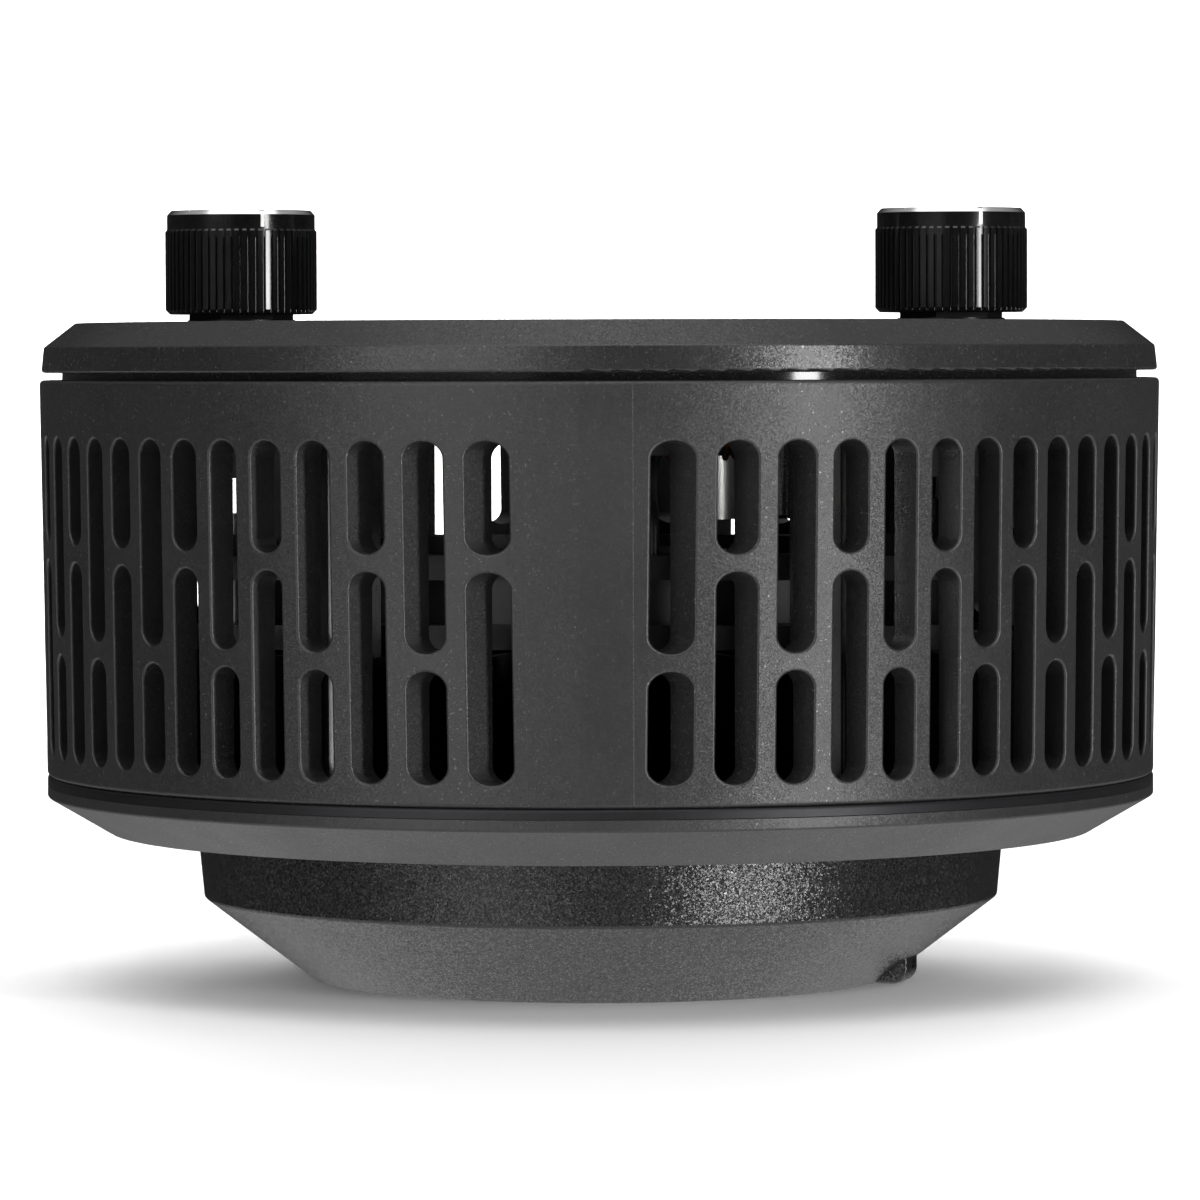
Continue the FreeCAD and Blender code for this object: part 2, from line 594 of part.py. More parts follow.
# ---------------------------------------------------------------- knobs and potentiometers
def knob(x):
    """Fluted knob with a smooth collar; hollow below to clear the nut."""
    pitch = 360 / FLUTES
    edges = []
    for k in range(FLUTES):
        crown = [polar(KNOB_R, pitch * (k + t), KNOB_Z0) for t in (0.0, 0.29, 0.58)]
        valley = polar(KNOB_R - 0.32, pitch * (k + 0.79), KNOB_Z0)
        edges.append(Part.Arc(*crown).toShape())
        edges.append(Part.Arc(crown[2], valley, polar(KNOB_R, pitch * (k + 1), KNOB_Z0)).toShape())
    skirt = Part.Face(Part.Wire(edges)).extrude(V(0, 0, KNOB_Z1 - KNOB_Z0))
    envelope = spun([(0, KNOB_Z0), (KNOB_R - 0.5, KNOB_Z0), (KNOB_R, KNOB_Z0 + 0.5),
                     (KNOB_R, KNOB_Z1 - 0.3), (KNOB_R - 0.3, KNOB_Z1), (0, KNOB_Z1)])
    body = skirt.common(envelope).fuse(rod(COLLAR_R, KNOB_Z1 - 1, COLLAR_Z1))
    cavity = [rod(6.4, KNOB_Z0 - 1, 76.6), rod(4.2, 76, 83.0), rod(7.6, COLLAR_Z1 - 0.6, COLLAR_Z1 + 1)]
    body = body.cut(cavity + [pointer_slot(0.02)])
    return moved(body, x, KNOB_Y)


def pointer_slot(gap):
    """Room for the pointer: a line up the collar and across its top."""
    half = 0.2 + gap
    upright = block(-half, half, -COLLAR_R - 1, -COLLAR_R + 0.25 + gap, KNOB_Z1 + 0.1 - gap, COLLAR_Z1 + 1)
    return turned(upright, POINTER_AZIMUTH)


def knob_pointer(x):
    """White line up the collar."""
    line = pointer_slot(0).common(rod(COLLAR_R + 0.03, KNOB_Z1, COLLAR_Z1))
    return moved(line, x, KNOB_Y)


def knob_cap(x):
    """Turned metal disc let into the knob's top, with a bright bevel and a sight line."""
    cap = spun([(0, COLLAR_Z1 - 0.6), (7.6, COLLAR_Z1 - 0.6), (7.6, COLLAR_Z1), (COLLAR_R, COLLAR_Z1),
                (COLLAR_R - 0.45, CAP_Z1), (0, CAP_Z1)])
    line = turned(block(-0.3, 0.3, -COLLAR_R - 1, -4.2, CAP_Z1 - 0.15, CAP_Z1 + 1), POINTER_AZIMUTH)
    return moved(cap.cut(line), x, KNOB_Y)


def knob_bush(x):
    """Brass bush that grips the potentiometer's shaft."""
    bush = pipe(4.2, 3.0, 77.0, 82.8).fuse(block(-2.4, 2.4, 2.2, 3.2, 79.0, 82.8))
    return moved(turned(bush, POINTER_AZIMUTH), x, KNOB_Y)


def pot_shaft(x):
    """Shaft with a flat for the knob's bush."""
    shaft = rod(3.0, POT_CAN_Z0 + 1.6, 82.6).cut(block(-4, 4, 2.2, 4, 78.9, 84))
    return moved(turned(shaft, POINTER_AZIMUTH), x, KNOB_Y)


def pot(x):
    """Potentiometer: can, threaded bushing and three solder tags."""
    under = COVER_Z1 - COVER_WALL
    body = rod(8.2, POT_CAN_Z0, under).fuse(rod(3.5, under - 1, 75.8))
    body = round_rims(body, [(8.2, POT_CAN_Z0, 0.6)])
    body = body.cut(rod(3.04, POT_CAN_Z0 + 1.2, 80))
    tags = [block(5 * k - 0.6, 5 * k + 0.6, 6.0, 9.6, POT_CAN_Z0 + 0.8, POT_CAN_Z0 + 1.5) for k in (-1, 0, 1)]
    return moved(body.fuse(tags), x, KNOB_Y)


def pot_nut(x):
    """Hex nut over the top cover."""
    return hexagon(10.0, 73.5, 75.6, (x, KNOB_Y), 12).cut(rod(3.55, 73, 77, (x, KNOB_Y)))


def pot_washer(x):
    """Thin washer under the nut."""
    return pipe(5.9, 3.55, COVER_Z1, 73.5, (x, KNOB_Y))


def pot_board(x):
    """Small board behind the potentiometer."""
    return block(x - 7, x + 7, KNOB_Y - 8.5, KNOB_Y + 8.5, 60.4, POT_CAN_Z0)


def pot_plug(x):
    """Plug on the small board."""
    y = KNOB_Y
    plug = block(x - 4.5, x + 4.5, y - 3.2, y + 3.2, 56.1, 60.4)
    return plug.cut(block(x - 3.7, x + 3.7, y - 2.4, y + 2.4, 54, 57.2))


# ---------------------------------------------------------------- sockets and mount
def power_socket():
    """Panel socket: flange, threaded barrel and a narrower contact sleeve below."""
    barrel = spun([(0, 58.0), (5.9, 58.0), (5.9, SOCKET_SEAT), (SOCKET_FLANGE_R, SOCKET_SEAT),
                   (SOCKET_FLANGE_R, COVER_Z1 - 0.4), (SOCKET_FLANGE_R - 0.4, COVER_Z1), (0, COVER_Z1)])
    sleeve = rod(2.7, SOCKET_Z0, 58.5)
    return moved(barrel.fuse(sleeve).cut(rod(2.75, 63.5, 76)), *SOCKET_AT)


def power_pin():
    """Centre contact of the power socket."""
    pin = round_rims(rod(1.05, 63.5, 72.6), [(1.05, 72.6, 0.4)])
    return moved(pin, *SOCKET_AT)


def power_nut():
    """Hex nut under the top cover."""
    return hexagon(14.0, 67.6, COVER_Z1 - COVER_WALL, SOCKET_AT).cut(rod(5.95, 66, 71, SOCKET_AT))


def control_jack(at):
    """3.5 mm jack: moulded body with a threaded metal mouth."""
    body = block(at[0] - 4.6, at[0] + 4.6, at[1] - 5.4, at[1] + 5.4, 60.0, 70.1)
    body = body.fuse(rod(3.0, 69, COVER_Z1, at))
    return body.cut(rod(1.8, 60.9, 76, at))


def jack_nut(at):
    """Round slotted nut on the jack's mouth."""
    nut = pipe(JACK_NUT_R, 3.05, JACK_SEAT, COVER_Z1, at)
    nut = round_rims(nut, [(JACK_NUT_R, COVER_Z1, 0.3)])
    return nut.cut(block(at[0] - 5, at[0] + 5, at[1] - 0.4, at[1] + 0.4, COVER_Z1 - 0.6, 76))


def mount_insert():
    """Threaded insert at the centre for a hanging kit or a gooseneck."""
    insert = rod(6.0, 65.4, INSERT_SEAT).fuse(rod(INSERT_FLANGE_R, INSERT_SEAT, COVER_Z1))
    insert = round_rims(insert, [(INSERT_FLANGE_R, COVER_Z1, 0.3)])
    mouth = spun([(0, 72.6), (3.4, 72.6), (4.0, COVER_Z1), (4.0, 75), (0, 75)])
    return insert.cut([rod(3.4, 60, 80), mouth])


# ---------------------------------------------------------------- control board and leads
def control_board():
    """Board under the top cover, with cut corners."""
    board = block(-BOARD_X, BOARD_X, BOARD_Y0, BOARD_Y1, BOARD_Z0, BOARD_Z0 + BOARD_T)
    corners = [edge for edge in board.Edges if edge.Length < BOARD_T + 0.01]
    board = board.makeChamfer(3.0, corners)
    return board.cut([rod(1.3, 60, 66, at) for at in STANDOFFS])


def board_standoffs():
    """Round standoffs between the board and the top cover."""
    return group([pipe(2.6, 1.25, BOARD_Z0 + BOARD_T, COVER_Z1 - COVER_WALL, at) for at in STANDOFFS])


def board_screws():
    """Four screws up into the standoffs."""
    return group([pan_screw(at, 2.1, BOARD_Z0 - 1.4, BOARD_Z0, 1.2, BOARD_Z0 + 5.0, 0.8) for at in STANDOFFS])


def capacitors():
    """Cans that stand on the board's upper side and two that hang below it."""
    cans = []
    for radius, x, y, z0, z1 in CAPACITORS:
        can = rod(radius, z0, z1, (x, y))
        free_end = z0 if z1 <= BOARD_Z0 + 0.01 else z1
        cans.append(round_rims(can, [(radius, free_end, 0.4)]))
    return group(cans)


def inductor():
    """Toroid that lies under the board."""
    ring = spun([(3.2, 57.6), (6.6, 57.6), (6.6, 62.6), (3.2, 62.6)])
    return moved(round_rims(ring, [(6.6, 57.6, 0.8), (3.2, 57.6, 0.6)]), 13.0, 4.0)


def driver_chips():
    """Flat chips on both sides of the board."""
    under = [block(-6, 2, -12, -4, 61.2, BOARD_Z0), block(-4, 2, 6, 12, 61.4, BOARD_Z0)]
    over = [block(10, 16, -28, -22, 64.2, 65.6), block(-4, 4, -32, -24, 64.2, 65.4)]
    return group(under + over)


def board_plugs():
    """Plugs on the board for the fan's and the light source's leads."""
    return group([block(2.8, 9.6, -34.5, -29.5, 58.8, BOARD_Z0), block(-3.4, 3.4, 16.0, 20.5, 60.2, BOARD_Z0)])


def fan_leads():
    """Two thin leads from the fan's rim up to the board."""
    return group([wire_run([(x, -38.9, FAN_Z1 + 0.05), (x, -38.9, 52.6), (x + s, -35.4, 55.2), (x, -32.0, 58.8)], 0.6)
                  for x, s in ((5.4, 0.5), (7.0, -0.4))])


def led_leads():
    """Two leads from the board down past the fan, through the heat sink and on to the light source."""
    leads = []
    for x in (-0.9, 0.9):
        route = [(x, 18.4, 60.2), (x, 22.0, 57.2), (x, 46.0, 55.0), (x, 51.5, 50.5),
                 (x, 51.5, 20.85), (x, 20.1, 20.85)]
        leads.append(wire_run(route, 0.55, 2.2))
    return group(leads)


def pot_leads(x):
    """Three leads from a small board to the control board's edge."""
    side = math.copysign(1, x)
    x0 = x - side * 7.05
    x1 = side * (BOARD_X + 0.05)
    leads = []
    for y in (KNOB_Y - 3.0, KNOB_Y - 1.4, KNOB_Y + 0.2):
        route = [(x0, y, 61.2), (side * 31.2, y, 61.0), (side * 29.7, y - 0.6, 62.4), (x1, y - 0.6, 63.2)]
        leads.append(wire_run(route, 0.35))
    return group(leads)


# ---------------------------------------------------------------- assembly
def build():
    """Every node by its name."""
    parts.update({
        "vent_ring": vent_ring(),
        "top_cover": top_cover(),
        "base_cover": base_cover(),
        "heat_sink": heat_sink(),
        "cover_posts": cover_posts(),
        "cover_screws": cover_screws(),
        "base_screws": base_screws(),
        "lens_ring": lens_ring(),
        "ring_tab": ring_tab(),
        "lens": lens(),
        "lens_gasket": lens_gasket(),
        "reflector": reflector(),
        "optic_screws": optic_screws(),
        "thermal_pad": thermal_pad(),
        "led_board": led_board(),
        "led_emitter": led_emitter(),
        "led_holder": led_holder(),
        "led_screws": led_screws(),
        "fan_frame": fan_frame(),
        "fan_rotor": fan_rotor(),
        "fan_magnet": fan_magnet(),
        "fan_shaft": fan_shaft(),
        "fan_bearing": fan_bearing(),
        "fan_stator": fan_stator(),
        "fan_screws": fan_screws(),
        "fan_nuts": fan_nuts(),
        "power_socket": power_socket(),
        "power_pin": power_pin(),
        "power_nut": power_nut(),
        "mount_insert": mount_insert(),
        "control_board": control_board(),
        "board_standoffs": board_standoffs(),
        "board_screws": board_screws(),
        "capacitors": capacitors(),
        "inductor": inductor(),
        "driver_chips": driver_chips(),
        "board_plugs": board_plugs(),
        "fan_leads": fan_leads(),
        "led_leads": led_leads(),
    })
    for side, x in (("left", -KNOB_X), ("right", KNOB_X)):
        parts["knob_" + side] = knob(x)
        parts["knob_cap_" + side] = knob_cap(x)
        parts["knob_pointer_" + side] = knob_pointer(x)
        parts["knob_bush_" + side] = knob_bush(x)
        parts["pot_shaft_" + side] = pot_shaft(x)
        parts["pot_" + side] = pot(x)
    for name, make in (("pot_nuts", pot_nut), ("pot_washers", pot_washer), ("pot_boards", pot_board),
                       ("pot_plugs", pot_plug), ("pot_leads", pot_leads)):
        parts[name] = group([make(-KNOB_X), make(KNOB_X)])
    for name, at in zip(("in", "out"), JACKS_AT):
        parts["control_jack_" + name] = control_jack(at)
    parts["jack_nuts"] = group([jack_nut(at) for at in JACKS_AT])


build()
os.makedirs("parts", exist_ok=True)
for name, shape in parts.items():
    if not shape.isValid():
        raise ValueError(name + " is not a valid shape")
    shape.exportStep("parts/" + name + ".step")
    print(f"{name:22s} solids {len(shape.Solids):2d}  volume {shape.Volume:10.1f}")
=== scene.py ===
"""Looks for a round aquarium pendant light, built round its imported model.

Lengths are metres in the model's own frame: +Z up, the lamp's axis on Z, the front at -Y.
"""

import logging
import math
from dataclasses import dataclass
from enum import Enum
from typing import Iterable, Sequence

import bmesh
import bpy
from mathutils import Matrix, Vector

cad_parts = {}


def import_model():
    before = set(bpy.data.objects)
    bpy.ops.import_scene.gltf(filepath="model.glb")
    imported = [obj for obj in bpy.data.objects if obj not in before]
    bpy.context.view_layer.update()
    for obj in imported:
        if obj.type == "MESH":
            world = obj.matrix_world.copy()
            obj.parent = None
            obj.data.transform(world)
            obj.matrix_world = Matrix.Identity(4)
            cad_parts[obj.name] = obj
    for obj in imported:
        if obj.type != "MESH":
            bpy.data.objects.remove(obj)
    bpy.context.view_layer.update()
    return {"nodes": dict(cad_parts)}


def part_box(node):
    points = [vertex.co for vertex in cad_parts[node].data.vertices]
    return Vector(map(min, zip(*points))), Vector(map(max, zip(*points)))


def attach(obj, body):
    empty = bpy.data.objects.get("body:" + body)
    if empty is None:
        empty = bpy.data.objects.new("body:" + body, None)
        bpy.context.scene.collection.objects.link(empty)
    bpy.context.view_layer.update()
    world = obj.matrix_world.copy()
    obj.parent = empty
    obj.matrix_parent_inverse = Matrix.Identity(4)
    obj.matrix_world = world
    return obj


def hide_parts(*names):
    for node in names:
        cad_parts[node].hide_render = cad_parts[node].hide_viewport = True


LOG = logging.getLogger("pendant")
MM = 0.001
Colour = tuple[float, float, float]
Socket = bpy.types.NodeSocket
Node = bpy.types.Node
DUST = (0.42, 0.41, 0.39)
GREY_DUST = (0.4, 0.4, 0.38)
WARM_DUST = (0.35, 0.33, 0.3)


def scaled(colour: Colour, factor: float) -> Colour:
    """Colour with every channel multiplied."""
    return tuple(factor * channel for channel in colour)


# ---------------------------------------------------------------- node helpers
class Graph:
    """Adds and joins nodes in one tree."""

    def __init__(self, tree: bpy.types.NodeTree) -> None:
        """Keep the tree that nodes go into."""
        self.tree = tree

    def add(self, kind: str, **settings: object) -> Node:
        """Add a node and set its properties.

        Args:
            kind: The node's type name.
            **settings: Property names and values.

        Returns:
            The new node.
        """
        node = self.tree.nodes.new(kind)
        for name, value in settings.items():
            setattr(node, name, value)
        return node

    def put(self, target: Socket, value: object) -> None:
        """Link a socket to an input, or set the input to a constant.

        Args:
            target: The input.
            value: A socket to link, or a number, vector or colour to set.
        """
        if isinstance(value, bpy.types.NodeSocket):
            self.tree.links.new(value, target)
        elif isinstance(value, (tuple, list)) and target.type == "RGBA" and len(value) == 3:
            target.default_value = (*value, 1.0)
        else:
            target.default_value = value

    def math(self, operation: str, *values: object, clamp: bool = False) -> Socket:
        """Add a math node.

        Args:
            operation: The node's operation.
            *values: Sockets or constants, in the order of its inputs.
            clamp: Whether the result is kept between 0 and 1.

        Returns:
            The result.
        """
        node = self.add("ShaderNodeMath", operation=operation, use_clamp=clamp)
        for target, value in zip(node.inputs, values):
            self.put(target, value)
        return node.outputs[0]

    def mix(self, factor: object, low: object, high: object) -> Socket:
        """Blend two colours.

        Args:
            factor: How much of the second one, 0 to 1.
            low: The first colour.
            high: The second colour.

        Returns:
            The blend.
        """
        node = self.add("ShaderNodeMix", data_type="RGBA")
        self.put(node.inputs[0], factor)
        self.put(node.inputs[6], low)
        self.put(node.inputs[7], high)
        return node.outputs[2]

    def spread(self, value: Socket, low: float, high: float, to_low: float = 0.0,
               to_high: float = 1.0) -> Socket:
        """Map a value's range to another, clamped.

        Args:
            value: The value.
            low: Where its range starts.
            high: Where its range ends.
            to_low: What the start becomes.
            to_high: What the end becomes.

        Returns:
            The mapped value.
        """
        node = self.add("ShaderNodeMapRange", clamp=True)
        self.put(node.inputs[0], value)
        for k, number in enumerate((low, high, to_low, to_high), start=1):
            node.inputs[k].default_value = number
        return node.outputs[0]

    def noise(self, place: Socket, scale: object, detail: float = 2.0, rough: float = 0.5) -> Socket:
        """Add a 3-D noise.

        Args:
            place: The coordinates.
            scale: Cells per metre.
            detail: Octaves.
            rough: How much the finer octaves weigh.

        Returns:
            The noise's value, 0 to 1.
        """
        node = self.add("ShaderNodeTexNoise", noise_dimensions="3D")
        self.put(node.inputs["Vector"], place)
        self.put(node.inputs["Scale"], scale)
        node.inputs["Detail"].default_value = detail
        node.inputs["Roughness"].default_value = rough
        return node.outputs["Fac"]

    def place(self, centre: Sequence[float] = (0, 0, 0)) -> Socket:
        """Object coordinates, measured from a centre.

        Args:
            centre: The point that becomes the origin.

        Returns:
            The coordinates.
        """
        coordinates = self.add("ShaderNodeTexCoord")
        mapping = self.add("ShaderNodeMapping")
        self.put(mapping.inputs["Vector"], coordinates.outputs["Object"])
        mapping.inputs["Location"].default_value = [-c for c in centre]
        return mapping.outputs["Vector"]

    def bump(self, height: Socket, strength: float, distance: float, under: Socket | None = None) -> Socket:
        """Turn a height into a normal.

        Args:
            height: The height, 0 to 1.
            strength: How much of the effect is used.
            distance: The full height in metres.
            under: A normal that this one is laid over.

        Returns:
            The normal.
        """
        node = self.add("ShaderNodeBump")
        node.inputs["Strength"].default_value = strength
        node.inputs["Distance"].default_value = distance
        self.put(node.inputs["Height"], height)
        if under is not None:
            self.put(node.inputs["Normal"], under)
        return node.outputs["Normal"]

    def split(self, vector: Socket) -> Node:
        """Take a vector apart.

        Args:
            vector: The vector.

        Returns:
            A node whose outputs are its X, Y and Z.
        """
        node = self.add("ShaderNodeSeparateXYZ")
        self.put(node.inputs[0], vector)
        return node


def new_group(name: str, inputs: dict[str, float], outputs: Iterable[str]) -> tuple[Graph, Node, Node]:
    """Start a shader node group with a Vector input and float sockets; an output called Normal is a vector.

    Args:
        name: The group's name.
        inputs: Float inputs and their defaults.
        outputs: The outputs' names.

    Returns:
        The graph, its input node and its output node.
    """
    tree = bpy.data.node_groups.new(name, "ShaderNodeTree")
    tree.interface.new_socket("Vector", in_out="INPUT", socket_type="NodeSocketVector")
    for label, value in inputs.items():
        socket = tree.interface.new_socket(label, in_out="INPUT", socket_type="NodeSocketFloat")
        socket.default_value = value
    for label in outputs:
        kind = "NodeSocketVector" if label == "Normal" else "NodeSocketFloat"
        tree.interface.new_socket(label, in_out="OUTPUT", socket_type=kind)
    graph = Graph(tree)
    return graph, graph.add("NodeGroupInput"), graph.add("NodeGroupOutput")


class Effects:
    """Node groups that several finishes share, each built once."""

    def __init__(self) -> None:
        """Build the groups."""
        self.grain = self._grain()
        self.handling = self._handling()
        self.turning = self._turning()
        self.scratches = self._scratches()
        self.facets = self._facets()

    @staticmethod
    def _grain() -> bpy.types.NodeTree:
        """Spark-eroded mould texture: a height, a mask of specks where glints are painted, and a slow mottle.

        Returns:
            The group.
        """
        graph, given, result = new_group("mould_grain", {"Grain": 6000.0, "Specks": 0.72},
                                         ("Height", "Specks", "Mottle"))
        place = given.outputs["Vector"]
        fine = graph.noise(place, given.outputs["Grain"], 3.0, 0.62)
        coarse = graph.noise(place, graph.math("MULTIPLY", given.outputs["Grain"], 0.33), 2.0, 0.5)
        height = graph.math("ADD", graph.math("MULTIPLY", fine, 0.65), graph.math("MULTIPLY", coarse, 0.35))
        # noise that places the specks where glints are painted
        glint_noise = graph.noise(place, graph.math("MULTIPLY", given.outputs["Grain"], 0.8), 1.0, 0.5)
        margin = graph.math("SUBTRACT", glint_noise, given.outputs["Specks"])
        glint_specks = graph.math("MULTIPLY", margin, 14.0, clamp=True)
        mottle = graph.noise(place, 60.0, 4.0, 0.6)
        graph.put(result.inputs["Height"], height)
        graph.put(result.inputs["Specks"], glint_specks)
        graph.put(result.inputs["Mottle"], mottle)
        return graph.tree

    @staticmethod
    def _handling() -> bpy.types.NodeTree:
        """Handling marks: smears in the gloss, and fine dust that lies on faces that look up.

        Returns:
            The group.
        """
        graph, given, result = new_group("handling", {"Smear": 0.5, "Dust": 0.3}, ("Smear", "Dust"))
        place = given.outputs["Vector"]
        wide = graph.noise(place, 38.0, 3.0, 0.55)
        streaks = graph.noise(place, 170.0, 2.0, 0.5)
        smear = graph.math("MULTIPLY", graph.spread(wide, 0.42, 0.66), graph.spread(streaks, 0.3, 0.7))
        graph.put(result.inputs["Smear"], graph.math("MULTIPLY", smear, given.outputs["Smear"]))
        facing = graph.split(graph.add("ShaderNodeNewGeometry").outputs["Normal"])
        upward = graph.spread(facing.outputs["Z"], 0.55, 0.98)
        motes = graph.spread(graph.noise(place, 2400.0, 2.0, 0.7), 0.55, 0.72)
        film = graph.spread(graph.noise(place, 55.0, 3.0, 0.6), 0.35, 0.75)
        dust = graph.math("MULTIPLY", upward, graph.math("MULTIPLY", motes, film))
        graph.put(result.inputs["Dust"], graph.math("MULTIPLY", dust, given.outputs["Dust"]))
        return graph.tree

    @staticmethod
    def _turning() -> bpy.types.NodeTree:
        """Lathe marks: rings about the pattern's own Z axis.

        Returns:
            The group.
        """
        graph, given, result = new_group("lathe_marks", {"Pitch": 9000.0}, ("Height", "Tone"))
        split = graph.split(given.outputs["Vector"])
        across = graph.math("POWER", split.outputs["X"], 2.0)
        along = graph.math("POWER", split.outputs["Y"], 2.0)
        radius = graph.math("SQRT", graph.math("ADD", across, along))
        wobble = graph.add("ShaderNodeTexNoise", noise_dimensions="1D")
        reach = graph.math("ADD", radius, graph.math("MULTIPLY", split.outputs["Z"], 0.7))
        graph.put(wobble.inputs["W"], graph.math("MULTIPLY", reach, given.outputs["Pitch"]))
        wobble.inputs["Scale"].default_value = 1.0
        wobble.inputs["Detail"].default_value = 2.0
        graph.put(result.inputs["Height"], wobble.outputs["Fac"])
        tone = graph.spread(wobble.outputs["Fac"], 0.3, 0.7)
        graph.put(result.inputs["Tone"], tone)
        return graph.tree

    @staticmethod
    def _scratches() -> bpy.types.NodeTree:
        """Hairline scratches in two slants.

        Returns:
            The group.
        """
        graph, given, result = new_group("hairlines", {"Density": 1.0}, ("Mask",))
        masks = []
        for turn, stretch in ((0.5, (2600.0, 90.0, 900.0)), (-0.9, (110.0, 2100.0, 700.0))):
            mapping = graph.add("ShaderNodeMapping")
            graph.put(mapping.inputs["Vector"], given.outputs["Vector"])
            mapping.inputs["Rotation"].default_value = (0.2, 0.1, turn)
            mapping.inputs["Scale"].default_value = stretch
            lines = graph.noise(mapping.outputs["Vector"], 1.0, 1.0, 0.4)
            masks.append(graph.spread(lines, 0.70, 0.76))
        both = graph.math("MAXIMUM", masks[0], masks[1])
        graph.put(result.inputs["Mask"], graph.math("MULTIPLY", both, given.outputs["Density"], clamp=True))
        return graph.tree

    @staticmethod
    def _facets() -> bpy.types.NodeTree:
        """Tiny flat facets of a coarse spark texture, each with its own tilt.

        Returns:
            The group.
        """
        graph, given, result = new_group("spark_facets", {"Scale": 4200.0, "Tilt": 0.2}, ("Normal",))
        cells = graph.add("ShaderNodeTexVoronoi", feature="F1", voronoi_dimensions="3D")
        graph.put(cells.inputs["Vector"], given.outputs["Vector"])
        graph.put(cells.inputs["Scale"], given.outputs["Scale"])
        lean = graph.add("ShaderNodeVectorMath", operation="SUBTRACT")
        graph.put(lean.inputs[0], cells.outputs["Color"])
        lean.inputs[1].default_value = (0.5, 0.5, 0.5)
        weighed = graph.add("ShaderNodeVectorMath", operation="SCALE")
        graph.put(weighed.inputs[0], lean.outputs[0])
        graph.put(weighed.inputs["Scale"], graph.math("MULTIPLY", given.outputs["Tilt"], 2.0))
        tilted = graph.add("ShaderNodeVectorMath", operation="ADD")
        graph.put(tilted.inputs[0], graph.add("ShaderNodeNewGeometry").outputs["Normal"])
        graph.put(tilted.inputs[1], weighed.outputs[0])
        unit = graph.add("ShaderNodeVectorMath", operation="NORMALIZE")
        graph.put(unit.inputs[0], tilted.outputs[0])
        graph.put(result.inputs["Normal"], unit.outputs[0])
        return graph.tree

    def use(self, graph: Graph, tree: bpy.types.NodeTree, place: Socket, **values: float) -> Node:
        """Place a group in a material.

        Args:
            graph: The material's graph.
            tree: The group.
            place: The coordinates it reads.
            **values: Its float inputs.

        Returns:
            The group node.
        """
        node = graph.add("ShaderNodeGroup", node_tree=tree)
        graph.put(node.inputs["Vector"], place)
        for label, value in values.items():
            graph.put(node.inputs[label], value)
        return node


def start_material(name: str) -> tuple[bpy.types.Material, Graph, Node]:
    """Start a material with one Principled shader.

    Args:
        name: The material's name.

    Returns:
        The material, its graph and the shader.
    """
    material = bpy.data.materials.new(name)
    material.use_nodes = True
    tree = material.node_tree
    shader = next(node for node in tree.nodes if node.type == "BSDF_PRINCIPLED")
    return material, Graph(tree), shader


